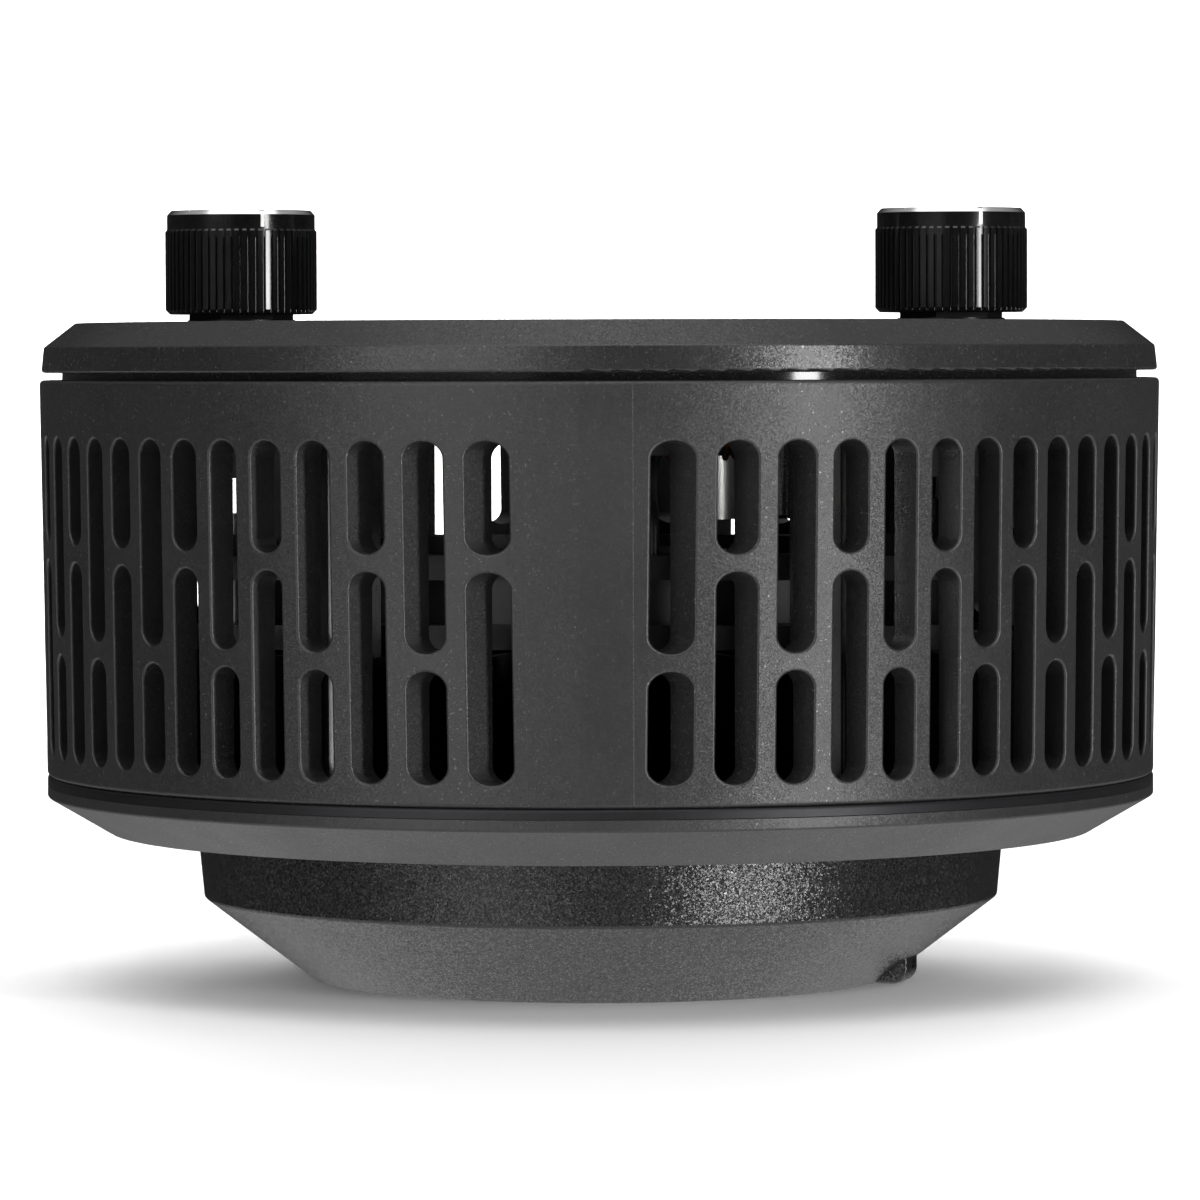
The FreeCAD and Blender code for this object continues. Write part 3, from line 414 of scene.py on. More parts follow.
# ---------------------------------------------------------------- finishes
@dataclass(frozen=True)
class Moulded:
    """Moulded plastic: a spark texture with tilted facets, specks that are glossier and painted lighter as
    glints, smears and a little dust.
    """

    name: str
    colour: Colour
    roughness: float = 0.5
    grain: float = 5200.0
    glint_specks: float = 0.66
    # how much lighter the specks' painted glints are
    glint_lift: float = 0.10
    depth: float = 0.04 * MM
    strength: float = 0.5
    dust: float = 0.25
    parting_lines: tuple[float, ...] = ()
    gloss_band: tuple[float, float] | None = None
    facet_scale: float = 5200.0
    facet_tilt: float = 0.0
    ridge_width: float = 0.06 * MM
    ridge_height: float = 0.04 * MM

    def build(self, effects: Effects) -> bpy.types.Material:
        """Make the material.

        Args:
            effects: The shared node groups.

        Returns:
            The material.
        """
        material, graph, shader = start_material(self.name)
        place = graph.place()
        grain = effects.use(graph, effects.grain, place, Grain=self.grain, Specks=self.glint_specks)
        marks = effects.use(graph, effects.handling, place, Smear=0.5, Dust=self.dust)
        darker, lighter = scaled(self.colour, 0.72), scaled(self.colour, 1.28)
        body = graph.mix(graph.spread(grain.outputs["Height"], 0.35, 0.65), darker, lighter)
        body = graph.mix(graph.spread(grain.outputs["Mottle"], 0.3, 0.7, 0.0, 0.25), body, lighter)
        # painted glints: the specks are coloured lighter, standing in for light sparkling off the grain
        bright = tuple(min(1.0, c + self.glint_lift) for c in self.colour)
        body = graph.mix(grain.outputs["Specks"], body, bright)
        body = graph.mix(marks.outputs["Dust"], body, DUST)
        graph.put(shader.inputs["Base Color"], body)
        patches = graph.spread(grain.outputs["Mottle"], 0.3, 0.7, -0.04, 0.04)
        rough = graph.math("ADD", self.roughness, patches)
        rough = graph.math("SUBTRACT", rough, graph.math("MULTIPLY", marks.outputs["Smear"], 0.10))
        # the same specks also get a lower roughness, which is real gloss
        shiny = graph.math("MULTIPLY", grain.outputs["Specks"], 0.22)
        rough = graph.math("SUBTRACT", rough, shiny, clamp=True)
        relief = grain.outputs["Height"]
        tilt: object = self.facet_tilt
        if self.gloss_band:
            band = self._band(graph)
            plain = graph.math("SUBTRACT", 1.0, band)
            rough = graph.math("MULTIPLY", rough, graph.spread(plain, 0.0, 1.0, 0.3, 1.0))
            relief = graph.math("MULTIPLY", relief, plain)
            tilt = graph.math("MULTIPLY", plain, self.facet_tilt)
        graph.put(shader.inputs["Roughness"], rough)
        facets = None
        if self.facet_tilt > 0.0:
            sparks = effects.use(graph, effects.facets, place, Scale=self.facet_scale, Tilt=tilt)
            facets = sparks.outputs["Normal"]
        normal = graph.bump(relief, self.strength, self.depth, facets)
        if self.parting_lines:
            normal = graph.bump(self._partings(graph), 0.35, self.ridge_height, normal)
        graph.put(shader.inputs["Normal"], normal)
        return material

    def _band(self, graph: Graph) -> Socket:
        """Mask of the polished band.

        Args:
            graph: The material's graph.

        Returns:
            One between the band's two heights, zero elsewhere.
        """
        split = graph.split(graph.place())
        low, high = self.gloss_band
        above = graph.math("GREATER_THAN", split.outputs["Z"], low)
        return graph.math("MULTIPLY", above, graph.math("LESS_THAN", split.outputs["Z"], high))

    def _partings(self, graph: Graph) -> Socket:
        """Fine upright ridges where the mould's slides meet, at the stated distances from the middle plane.

        Args:
            graph: The material's graph.

        Returns:
            The ridges' height, 0 to 1.
        """
        split = graph.split(graph.place())
        sideways = graph.math("ABSOLUTE", split.outputs["X"])
        ridges = graph.spread(graph.math("ABSOLUTE", split.outputs["Y"]), 0.0, self.ridge_width, 1.0, 0.0)
        for distance in self.parting_lines:
            off = graph.math("ABSOLUTE", graph.math("SUBTRACT", sideways, distance))
            ridges = graph.math("MAXIMUM", ridges, graph.spread(off, 0.0, self.ridge_width, 1.0, 0.0))
        return ridges


@dataclass(frozen=True)
class Turned:
    """Turned or plated metal with lathe marks about its own axis."""

    name: str
    colour: Colour
    centre: tuple[float, float, float] = (0.0, 0.0, 0.0)
    roughness: float = 0.22
    pitch: float = 9000.0
    depth: float = 0.01 * MM
    tarnish: float = 0.2

    def build(self, effects: Effects) -> bpy.types.Material:
        """Make the material.

        Args:
            effects: The shared node groups.

        Returns:
            The material.
        """
        material, graph, shader = start_material(self.name)
        place = graph.place(self.centre)
        rings = effects.use(graph, effects.turning, place, Pitch=self.pitch)
        marks = effects.use(graph, effects.handling, place, Smear=0.8, Dust=0.12)
        lines = effects.use(graph, effects.scratches, place, Density=0.6)
        toned = graph.math("MULTIPLY", rings.outputs["Tone"], 0.3)
        body = graph.mix(toned, self.colour, scaled(self.colour, 0.62))
        spots = graph.spread(graph.noise(place, 420.0, 4.0, 0.6), 0.5, 0.8, 0.0, self.tarnish)
        body = graph.mix(spots, body, scaled(self.colour, 0.4))
        graph.put(shader.inputs["Base Color"], graph.mix(marks.outputs["Dust"], body, GREY_DUST))
        rough = graph.math("ADD", self.roughness, graph.math("MULTIPLY", marks.outputs["Smear"], 0.14))
        rough = graph.math("ADD", rough, graph.math("MULTIPLY", lines.outputs["Mask"], 0.16), clamp=True)
        graph.put(shader.inputs["Roughness"], rough)
        shader.inputs["Metallic"].default_value = 1.0
        normal = graph.bump(rings.outputs["Height"], 0.35, self.depth)
        graph.put(shader.inputs["Normal"], graph.bump(lines.outputs["Mask"], 0.2, 0.01 * MM, normal))
        return material


@dataclass(frozen=True)
class Plated:
    """Plated, anodised or blackened metal without lathe marks."""

    name: str
    colour: Colour
    roughness: float = 0.35
    metallic: float = 1.0
    grain: float = 3800.0
    depth: float = 0.01 * MM
    strength: float = 0.3
    dust: float = 0.15

    def build(self, effects: Effects) -> bpy.types.Material:
        """Make the material.

        Args:
            effects: The shared node groups.

        Returns:
            The material.
        """
        material, graph, shader = start_material(self.name)
        place = graph.place()
        grain = effects.use(graph, effects.grain, place, Grain=self.grain, Specks=0.7)
        marks = effects.use(graph, effects.handling, place, Smear=0.6, Dust=self.dust)
        lines = effects.use(graph, effects.scratches, place, Density=0.5)
        clouds = graph.spread(grain.outputs["Mottle"], 0.35, 0.65)
        body = graph.mix(clouds, self.colour, scaled(self.colour, 0.7))
        scratched = tuple(min(1.0, channel) for channel in scaled(self.colour, 1.5))
        body = graph.mix(graph.math("MULTIPLY", lines.outputs["Mask"], 0.4), body, scratched)
        graph.put(shader.inputs["Base Color"], graph.mix(marks.outputs["Dust"], body, DUST))
        rough = graph.math("ADD", self.roughness, graph.math("MULTIPLY", marks.outputs["Smear"], 0.12))
        patches = graph.spread(grain.outputs["Height"], 0.3, 0.7, -0.05, 0.05)
        rough = graph.math("ADD", rough, patches, clamp=True)
        graph.put(shader.inputs["Roughness"], rough)
        shader.inputs["Metallic"].default_value = self.metallic
        graph.put(shader.inputs["Normal"], graph.bump(grain.outputs["Height"], self.strength, self.depth))
        return material


@dataclass(frozen=True)
class CircuitBoard:
    """Solder mask over staggered copper tracks, on a woven ground."""

    name: str
    colour: Colour
    track_colour: Colour
    cell: float = 4.2 * MM
    thread: float = 0.6 * MM

    def build(self, effects: Effects) -> bpy.types.Material:
        """Make the material.

        Args:
            effects: The shared node groups.

        Returns:
            The material.
        """
        material, graph, shader = start_material(self.name)
        place = graph.place()
        weave = graph.add("ShaderNodeTexChecker")
        graph.put(weave.inputs["Vector"], place)
        weave.inputs["Scale"].default_value = 1 / self.thread
        routes = graph.add("ShaderNodeTexBrick", offset=0.5, squash=0.6, squash_frequency=3)
        graph.put(routes.inputs["Vector"], place)
        routes.inputs["Scale"].default_value = 1 / self.cell
        routes.inputs["Mortar Size"].default_value = 0.06
        routes.inputs["Mortar Smooth"].default_value = 0.2
        tracks = routes.outputs["Fac"]
        woven = graph.math("MULTIPLY", weave.outputs["Fac"], 0.12)
        body = graph.mix(woven, self.colour, scaled(self.colour, 0.6))
        body = graph.mix(graph.math("MULTIPLY", tracks, 0.75), body, self.track_colour)
        marks = effects.use(graph, effects.handling, place, Smear=0.4, Dust=0.3)
        graph.put(shader.inputs["Base Color"], graph.mix(marks.outputs["Dust"], body, GREY_DUST))
        rough = graph.math("ADD", 0.3, graph.math("MULTIPLY", marks.outputs["Smear"], 0.2))
        graph.put(shader.inputs["Roughness"], rough)
        graph.put(shader.inputs["Normal"], graph.bump(tracks, 0.4, 0.04 * MM))
        return material


@dataclass(frozen=True)
class Soft:
    """Rubber or sleeve: matt, with a bloom on the surface and fine dimples."""

    name: str
    colour: Colour
    roughness: float = 0.6
    bloom: float = 0.35

    def build(self, effects: Effects) -> bpy.types.Material:
        """Make the material.

        Args:
            effects: The shared node groups.

        Returns:
            The material.
        """
        material, graph, shader = start_material(self.name)
        place = graph.place()
        grain = effects.use(graph, effects.grain, place, Grain=2600.0, Specks=0.75)
        film = graph.spread(graph.noise(place, 240.0, 4.0, 0.65), 0.45, 0.8, 0.0, self.bloom)
        bloomed = tuple(channel + 0.05 for channel in self.colour)
        graph.put(shader.inputs["Base Color"], graph.mix(film, self.colour, bloomed))
        patches = graph.spread(grain.outputs["Mottle"], 0.3, 0.7, -0.08, 0.08)
        graph.put(shader.inputs["Roughness"], graph.math("ADD", self.roughness, patches, clamp=True))
        graph.put(shader.inputs["Normal"], graph.bump(grain.outputs["Height"], 0.3, 0.02 * MM))
        return material


@dataclass(frozen=True)
class Clear:
    """Polished clear lens with faint wipe marks and dust."""

    name: str
    colour: Colour
    roughness: float = 0.02

    def build(self, effects: Effects) -> bpy.types.Material:
        """Make the material.

        Args:
            effects: The shared node groups.

        Returns:
            The material.
        """
        material, graph, shader = start_material(self.name)
        place = graph.place()
        marks = effects.use(graph, effects.handling, place, Smear=0.9, Dust=0.1)
        lines = effects.use(graph, effects.scratches, place, Density=0.35)
        wiped = graph.math("MULTIPLY", marks.outputs["Smear"], 0.2)
        graph.put(shader.inputs["Base Color"], graph.mix(wiped, self.colour, scaled(self.colour, 0.93)))
        rough = graph.math("ADD", self.roughness, graph.math("MULTIPLY", marks.outputs["Smear"], 0.10))
        rough = graph.math("ADD", rough, graph.math("MULTIPLY", lines.outputs["Mask"], 0.1))
        graph.put(shader.inputs["Roughness"], rough)
        graph.put(shader.inputs["Normal"], graph.bump(lines.outputs["Mask"], 0.08, 0.005 * MM))
        shader.inputs["Transmission Weight"].default_value = 1.0
        shader.inputs["IOR"].default_value = 1.49
        return material


@dataclass(frozen=True)
class Wound:
    """Lacquered copper wire, seen as close bands across the coil, with painted shade darkening the grooves
    between turns.
    """

    name: str
    colour: Colour
    turns: float = 2600.0

    def build(self, effects: Effects) -> bpy.types.Material:
        """Make the material.

        Args:
            effects: The shared node groups.

        Returns:
            The material.
        """
        material, graph, shader = start_material(self.name)
        place = graph.place()
        layers = graph.add("ShaderNodeTexWave", wave_type="BANDS", bands_direction="DIAGONAL",
                           wave_profile="SIN")
        graph.put(layers.inputs["Vector"], place)
        layers.inputs["Scale"].default_value = self.turns
        layers.inputs["Distortion"].default_value = 1.2
        # painted shade: the colour falls to 0.45 of the copper where the bands' height is low, in the grooves
        # between turns
        body = graph.mix(layers.outputs["Fac"], scaled(self.colour, 0.45), self.colour)
        marks = effects.use(graph, effects.handling, place, Smear=0.5, Dust=0.3)
        graph.put(shader.inputs["Base Color"], graph.mix(marks.outputs["Dust"], body, WARM_DUST))
        rough = graph.math("ADD", 0.28, graph.math("MULTIPLY", marks.outputs["Smear"], 0.2))
        graph.put(shader.inputs["Roughness"], rough)
        shader.inputs["Metallic"].default_value = 0.85
        graph.put(shader.inputs["Normal"], graph.bump(layers.outputs["Fac"], 0.5, 0.05 * MM))
        return material


@dataclass(frozen=True)
class Mirrored:
    """Metallised reflector: bright, with faint facets and a haze."""

    name: str
    colour: Colour

    def build(self, effects: Effects) -> bpy.types.Material:
        """Make the material.

        Args:
            effects: The shared node groups.

        Returns:
            The material.
        """
        material, graph, shader = start_material(self.name)
        place = graph.place()
        cells = graph.add("ShaderNodeTexVoronoi", feature="F1")
        graph.put(cells.inputs["Vector"], place)
        cells.inputs["Scale"].default_value = 420.0
        marks = effects.use(graph, effects.handling, place, Smear=0.6, Dust=0.1)
        haze = graph.spread(graph.noise(place, 90.0, 3.0, 0.6), 0.4, 0.8, 0.0, 0.25)
        graph.put(shader.inputs["Base Color"], graph.mix(haze, self.colour, scaled(self.colour, 0.85)))
        rough = graph.math("ADD", 0.06, graph.math("MULTIPLY", marks.outputs["Smear"], 0.1))
        graph.put(shader.inputs["Roughness"], rough)
        shader.inputs["Metallic"].default_value = 1.0
        graph.put(shader.inputs["Normal"], graph.bump(cells.outputs["Distance"], 0.12, 0.4 * MM))
        return material


@dataclass(frozen=True)
class Phosphor:
    """Silicone with phosphor, slightly cloudy."""

    name: str
    colour: Colour

    def build(self, effects: Effects) -> bpy.types.Material:
        """Make the material.

        Args:
            effects: The shared node groups.

        Returns:
            The material.
        """
        material, graph, shader = start_material(self.name)
        place = graph.place()
        cloud = graph.noise(place, 900.0, 4.0, 0.6)
        body = graph.mix(graph.spread(cloud, 0.3, 0.7), self.colour, scaled(self.colour, 0.75))
        marks = effects.use(graph, effects.handling, place, Smear=0.3, Dust=0.1)
        graph.put(shader.inputs["Base Color"], body)
        rough = graph.math("ADD", 0.3, graph.math("MULTIPLY", marks.outputs["Smear"], 0.2))
        graph.put(shader.inputs["Roughness"], rough)
        shader.inputs["Subsurface Weight"].default_value = 0.15
        shader.inputs["Subsurface Radius"].default_value = (1.0 * MM, 0.6 * MM, 0.2 * MM)
        shader.inputs["Subsurface Scale"].default_value = 0.5
        graph.put(shader.inputs["Normal"], graph.bump(cloud, 0.2, 0.05 * MM))
        return material


Finish = Moulded | Turned | Plated | CircuitBoard | Soft | Clear | Wound | Mirrored | Phosphor


# ---------------------------------------------------------------- mesh helpers
def new_piece(name: str, mesh: bmesh.types.BMesh, material: bpy.types.Material,
              angle: float = 35.0) -> bpy.types.Object:
    """Turn a bmesh into an object that shades smoothly below an angle.

    Args:
        name: The object's name.
        mesh: The finished bmesh; it is freed.
        material: Its material.
        angle: Edges sharper than this many degrees stay sharp.

    Returns:
        The new object, at the origin.
    """
    bmesh.ops.remove_doubles(mesh, verts=mesh.verts, dist=1e-7)
    bmesh.ops.recalc_face_normals(mesh, faces=mesh.faces)
    limit = math.radians(angle)
    for face in mesh.faces:
        face.smooth = True
    for edge in mesh.edges:
        edge.smooth = edge.is_manifold and edge.calc_face_angle(0.0) < limit
    data = bpy.data.meshes.new(name)
    mesh.to_mesh(data)
    mesh.free()
    data.materials.append(material)
    piece = bpy.data.objects.new(name, data)
    bpy.context.scene.collection.objects.link(piece)
    return piece


def add_block(mesh: bmesh.types.BMesh, low: Vector, high: Vector, round_by: float = 0.0,
              turn: float = 0.0) -> None:
    """Add a box between two corners, turned about its own upright axis.

    Args:
        mesh: The bmesh that it goes into.
        low: The lowest corner.
        high: The highest corner.
        round_by: Width of the bevel on its edges.
        turn: The turn in radians.
    """
    middle = (low + high) / 2
    place = Matrix.Translation(middle) @ Matrix.Rotation(turn, 4, "Z") @ Matrix.Diagonal((*(high - low), 1.0))
    made = bmesh.ops.create_cube(mesh, size=1.0, matrix=place)
    if round_by > 0.0:
        edges = {edge for vert in made["verts"] for edge in vert.link_edges}
        bmesh.ops.bevel(mesh, geom=list(edges), offset=round_by, offset_type="OFFSET", segments=2,
                        profile=0.5, affect="EDGES", material=-1)


def add_turned(mesh: bmesh.types.BMesh, outline: Sequence[tuple[float, float]], centre: Vector,
               steps: int) -> None:
    """Spin a closed outline round an upright axis.

    Args:
        mesh: The bmesh that it goes into.
        outline: The outline's (radius, height) points.
        centre: A point on the axis, at height zero of the outline.
        steps: Sides of the full turn.
    """
    verts = [mesh.verts.new((centre.x + r, centre.y, centre.z + z)) for r, z in outline]
    edges = [mesh.edges.new((a, b)) for a, b in zip(verts, verts[1:] + verts[:1])]
    bmesh.ops.spin(mesh, geom=verts + edges, cent=centre, axis=(0, 0, 1), dvec=(0, 0, 0),
                   angle=math.tau, steps=steps, use_merge=True, use_duplicate=False)


def front_point(radius: float, azimuth: float, z: float = 0.0) -> Vector:
    """Point at a radius and an azimuth.

    Args:
        radius: Distance from the lamp's axis.
        azimuth: Degrees from the front towards +X.
        z: Its height.

    Returns:
        The point.
    """
    angle = math.radians(azimuth)
    return Vector((radius * math.sin(angle), -radius * math.cos(angle), z))


# ---------------------------------------------------------------- made pieces
@dataclass
class ControlScales:
    """Printed scales round the two knobs, from the clockwise stop to the other one."""

    inks: bpy.types.Material
    start: float = 22.0
    travel: float = 300.0
    ticks: int = 11
    inner: float = 10.2 * MM
    short: float = 1.5 * MM
    long: float = 2.5 * MM
    width: float = 0.42 * MM
    film: float = 0.03 * MM

    def build(self) -> list[bpy.types.Object]:
        """Make both scales and let them ride on the housing.

        Returns:
            The two scales.
        """
        scales = []
        for side in ("left", "right"):
            low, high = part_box("knob_" + side)
            centre = Vector(((low.x + high.x) / 2, (low.y + high.y) / 2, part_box("top_cover")[1].z))
            mesh = bmesh.new()
            for k in range(self.ticks):
                azimuth = self.start + self.travel * k / (self.ticks - 1)
                length = self.long if k in (0, self.ticks // 2, self.ticks - 1) else self.short
                middle = centre + front_point(self.inner + length / 2, azimuth)
                half = Vector((self.width / 2, length / 2, 0))
                corner = middle + half + Vector((0, 0, self.film))
                add_block(mesh, middle - half, corner, turn=math.radians(azimuth))
            scale = new_piece("control_scale_" + side, mesh, self.inks)
            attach(scale, "housing")
            scales.append(scale)
        return scales


@dataclass
class ChipArray:
    """Light chips in a grid inside a raised dam, under the light source's round."""

    dam_finish: bpy.types.Material
    chip_finish: bpy.types.Material
    pitch: float = 1.7 * MM
    chip: float = 1.2 * MM
    reach: float = 7.4 * MM
    drop: float = 0.16 * MM
    edge: float = 0.08 * MM

    def build(self) -> list[bpy.types.Object]:
        """Make the dam and the chips.

        Returns:
            The dam and the chips.
        """
        low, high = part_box("led_emitter")
        centre = Vector(((low.x + high.x) / 2, (low.y + high.y) / 2, low.z))
        rim = (high.x - low.x) / 2
        mesh = bmesh.new()
        outline = [(rim - 1.1 * MM, 0.02 * MM), (rim - 1.0 * MM, -0.22 * MM), (rim - 0.7 * MM, -0.32 * MM),
                   (rim - 0.4 * MM, -0.22 * MM), (rim - 0.3 * MM, 0.02 * MM)]
        add_turned(mesh, outline, centre, steps=96)
        dam = new_piece("chip_dam", mesh, self.dam_finish, 60)
        mesh = bmesh.new()
        count = int(self.reach / self.pitch) + 1
        for i in range(-count, count + 1):
            for j in range(-count, count + 1):
                middle = centre + Vector((i * self.pitch, j * self.pitch, 0))
                if math.hypot(i, j) * self.pitch > self.reach:
                    continue
                half = Vector((self.chip / 2, self.chip / 2, 0))
                add_block(mesh, middle - half - Vector((0, 0, self.drop)), middle + half, self.edge)
        chips = new_piece("light_chips", mesh, self.chip_finish)
        for piece, slot_name in ((dam, "pointer_white"), (chips, "phosphor")):
            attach(piece, "housing")
        return [dam, chips]


@dataclass
class WoundInductor:
    """Toroid with its winding, in the CAD toroid's place."""

    core_finish: bpy.types.Material
    wire_finish: bpy.types.Material
    turns: int = 22
    wire: float = 0.32 * MM
    hole: float = 3.2 * MM
    span: float = 330.0
    rounding: float = 0.3

    def build(self) -> list[bpy.types.Object]:
        """Make the core and the turns of wire.

        Returns:
            The core and the winding.
        """
        low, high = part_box("inductor")
        centre = (low + high) / 2
        outer = (high.x - low.x) / 2
        height = high.z - low.z
        tube = (outer - self.hole) / 2
        ring = outer - tube
        half_w = tube - 2 * self.wire
        half_h = height / 2 - 2 * self.wire
        cut = self.rounding * half_w
        near, far = ring - half_w, ring + half_w
        outline = [(near, -half_h + cut), (near + cut, -half_h), (far - cut, -half_h), (far, -half_h + cut),
                   (far, half_h - cut), (far - cut, half_h), (near + cut, half_h), (near, half_h - cut)]
        mesh = bmesh.new()
        add_turned(mesh, outline, centre, steps=64)
        core = new_piece("inductor_core", mesh, self.core_finish)
        mesh = bmesh.new()
        for k in range(self.turns):
            angle = math.radians(self.span * k / (self.turns - 1))
            self._turn(mesh, centre, ring, half_w, half_h, angle)
        wire = new_piece("inductor_winding", mesh, self.wire_finish, 80)
        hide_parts("inductor")
        for piece, slot_name in ((core, "magnet"), (wire, "copper_windings")):
            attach(piece, "housing")
        return [core, wire]

    def _turn(self, mesh: bmesh.types.BMesh, centre: Vector, ring: float, half_w: float, half_h: float,
              angle: float) -> None:
        """Add one closed turn of wire round the core's section.

        Args:
            mesh: The bmesh that it goes into.
            centre: The core's middle.
            ring: Radius of the middle of the core's section.
            half_w: Half the section's width.
            half_h: Half the section's height.
            angle: Where round the core the turn is, in radians.
        """
        reach = Matrix.Diagonal(((half_w + self.wire) / half_h, 1.0, (half_h + self.wire) / half_h, 1.0))
        start = len(mesh.verts)
        stance = Matrix.Translation((half_h, 0, 0))
        for axis in "XYX":
            stance = stance @ Matrix.Rotation(math.pi / 2, 4, axis)
        circle = bmesh.ops.create_circle(mesh, segments=6, radius=self.wire * 0.95, matrix=stance)
        edges = list({edge for vert in circle["verts"] for edge in vert.link_edges})
        bmesh.ops.spin(mesh, geom=circle["verts"] + edges, cent=(0, 0, 0), axis=(0, 1, 0), dvec=(0, 0, 0),
                       angle=math.tau, steps=16, use_merge=True, use_duplicate=False)
        mesh.verts.ensure_lookup_table()
        made = mesh.verts[start:]
        seat = Matrix.Translation(centre) @ Matrix.Rotation(angle, 4, "Z") @ Matrix.Translation((ring, 0, 0))
        bmesh.ops.transform(mesh, matrix=seat @ reach, verts=made)


@dataclass
class BoardParts:
    """Small surface parts under the control board, in three staggered rows."""

    body_finish: bpy.types.Material
    end_finish: bpy.types.Material
    long: float = 2.0 * MM
    wide: float = 1.25 * MM
    tall: float = 0.7 * MM
    end: float = 0.42 * MM
    proud: float = 0.05 * MM
    first: float = 9 * MM
    step: float = 3.1 * MM
    stagger: float = 1.3 * MM
    margin: float = 2.2 * MM

    def build(self) -> list[bpy.types.Object]:
        """Make the bodies and their soldered ends.

        Returns:
            The bodies and the ends.
        """
        low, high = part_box("control_board")
        bodies, ends = bmesh.new(), bmesh.new()
        rows = ((low.y + 6 * MM, 7), (low.y + 20 * MM, 9), (high.y - 9 * MM, 8))
        for row, (y, count) in enumerate(rows):
            for k in range(count):
                x = low.x + self.first + k * self.step + row * self.stagger
                if not self._taken(x, y):
                    self._part(bodies, ends, Vector((x, y, low.z)), along_x=(k + row) % 3 != 0)
        made = [new_piece("board_chips", bodies, self.body_finish),
                new_piece("board_solder", ends, self.end_finish)]
        for piece, slot_name in zip(made, ("plug_plastic", "plated_metal")):
            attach(piece, "housing")
        return made

    def _taken(self, x: float, y: float) -> bool:
        """Whether a CAD piece under the board already stands at a place.

        Args:
            x: Of the place.
            y: Of the place.

        Returns:
            True if a piece stands there or nearer than the margin.
        """
        gap = self.margin
        for node in ("inductor", "capacitors", "board_plugs", "driver_chips", "board_screws"):
            for low, high in solid_boxes(node):
                if low.x - gap < x < high.x + gap and low.y - gap < y < high.y + gap:
                    return True
        return False

    def _part(self, bodies: bmesh.types.BMesh, ends: bmesh.types.BMesh, at: Vector, along_x: bool) -> None:
        """Add one part: a body and a cap at each end.

        Args:
            bodies: The bmesh that the body goes into.
            ends: The bmesh that the caps go into.
            at: The part's middle, on the board's underside.
            along_x: Whether it lies along X; otherwise it lies along Y.
        """
        turn = 0.0 if along_x else math.pi / 2
        half = Vector((self.long / 2, self.wide / 2, 0))
        add_block(bodies, at - half - Vector((0, 0, self.tall)), at + half, 0.06 * MM, turn)
        for side in (-1, 1):
            shift = Matrix.Rotation(turn, 3, "Z") @ Vector((side * (self.long - self.end) / 2, 0, 0))
            cap = Vector((self.end / 2, self.wide / 2 + self.proud, 0))
            drop = Vector((0, 0, self.tall + self.proud))
            add_block(ends, at + shift - cap - drop, at + shift + cap, self.proud, turn)


def solid_boxes(node: str) -> list[tuple[Vector, Vector]]:
    """Boxes of a CAD node's separate solids, by their joined triangles.

    Args:
        node: The node's name.

    Returns:
        Each solid's lowest and highest corner.
    """
    mesh = bmesh.new()
    mesh.from_mesh(bpy.data.objects[node].data)
    bmesh.ops.remove_doubles(mesh, verts=mesh.verts, dist=1e-6)
    mesh.verts.ensure_lookup_table()
    seen: set[int] = set()
    boxes = []
    for vert in mesh.verts:
        if vert.index in seen:
            continue
        stack, island = [vert], []
        seen.add(vert.index)
        while stack:
            here = stack.pop()
            island.append(here.co.copy())
            for edge in here.link_edges:
                other = edge.other_vert(here)
                if other.index not in seen:
                    seen.add(other.index)
                    stack.append(other)
        boxes.append((Vector([min(c[k] for c in island) for k in range(3)]),
                      Vector([max(c[k] for c in island) for k in range(3)])))
    mesh.free()
    return boxes


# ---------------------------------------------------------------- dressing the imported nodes
class Dresser:
    """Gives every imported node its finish."""

    def __init__(self, effects: Effects) -> None:
        """Keep the effects that every material draws on."""
        self.effects = effects
        self.made: dict[str, bpy.types.Material] = {}

    def material(self, finish: Finish) -> bpy.types.Material:
        """Material of a finish, built the first time it is asked for.

        Args:
            finish: The finish.

        Returns:
            Its material.
        """
        if finish.name not in self.made:
            self.made[finish.name] = finish.build(self.effects)
        return self.made[finish.name]

    def dress(self, node: str, finish: Finish) -> None:
        """Put a finish on one node in place of its plain colour.

        Args:
            node: The node's name.
            finish: Its finish.
        """
        piece = bpy.data.objects[node]
        piece.data.materials.clear()
        piece.data.materials.append(self.material(finish))
        LOG.info("node %s: %s", node, finish.name)


HOUSING = Moulded("housing_plastic", (0.0125, 0.0125, 0.0127), roughness=0.43, grain=4200.0, glint_specks=0.66,
                  glint_lift=0.03, strength=0.5, dust=0.12, parting_lines=(5.45 * MM,), facet_scale=8200.0,
                  facet_tilt=0.085)
TOP_COVER = Moulded("top_cover_plastic", (0.013, 0.013, 0.0132), roughness=0.30, grain=4200.0, glint_specks=0.66,
                    glint_lift=0.03, strength=0.4, dust=0.07, gloss_band=(66.5 * MM, 67.75 * MM),
                    facet_scale=8200.0, facet_tilt=0.06)
BASE_COVER = Moulded("base_cover_plastic", (0.014, 0.014, 0.0142), roughness=0.44, grain=4200.0, glint_specks=0.68,
                     glint_lift=0.02, strength=0.5, dust=0.12, facet_scale=8200.0, facet_tilt=0.07)
LENS_RING = Moulded("lens_ring_plastic", (0.007, 0.007, 0.0072), roughness=0.25, grain=3400.0, glint_specks=0.64,
                    glint_lift=0.02, strength=0.4, depth=0.06 * MM, dust=0.08, facet_scale=6800.0, facet_tilt=0.17)
GLOSS_BLACK = Moulded("gloss_black_plastic", (0.004, 0.004, 0.004), roughness=0.16, grain=1500.0, glint_specks=0.9,
                      glint_lift=0.02, strength=0.04, depth=0.02 * MM, dust=0.08)
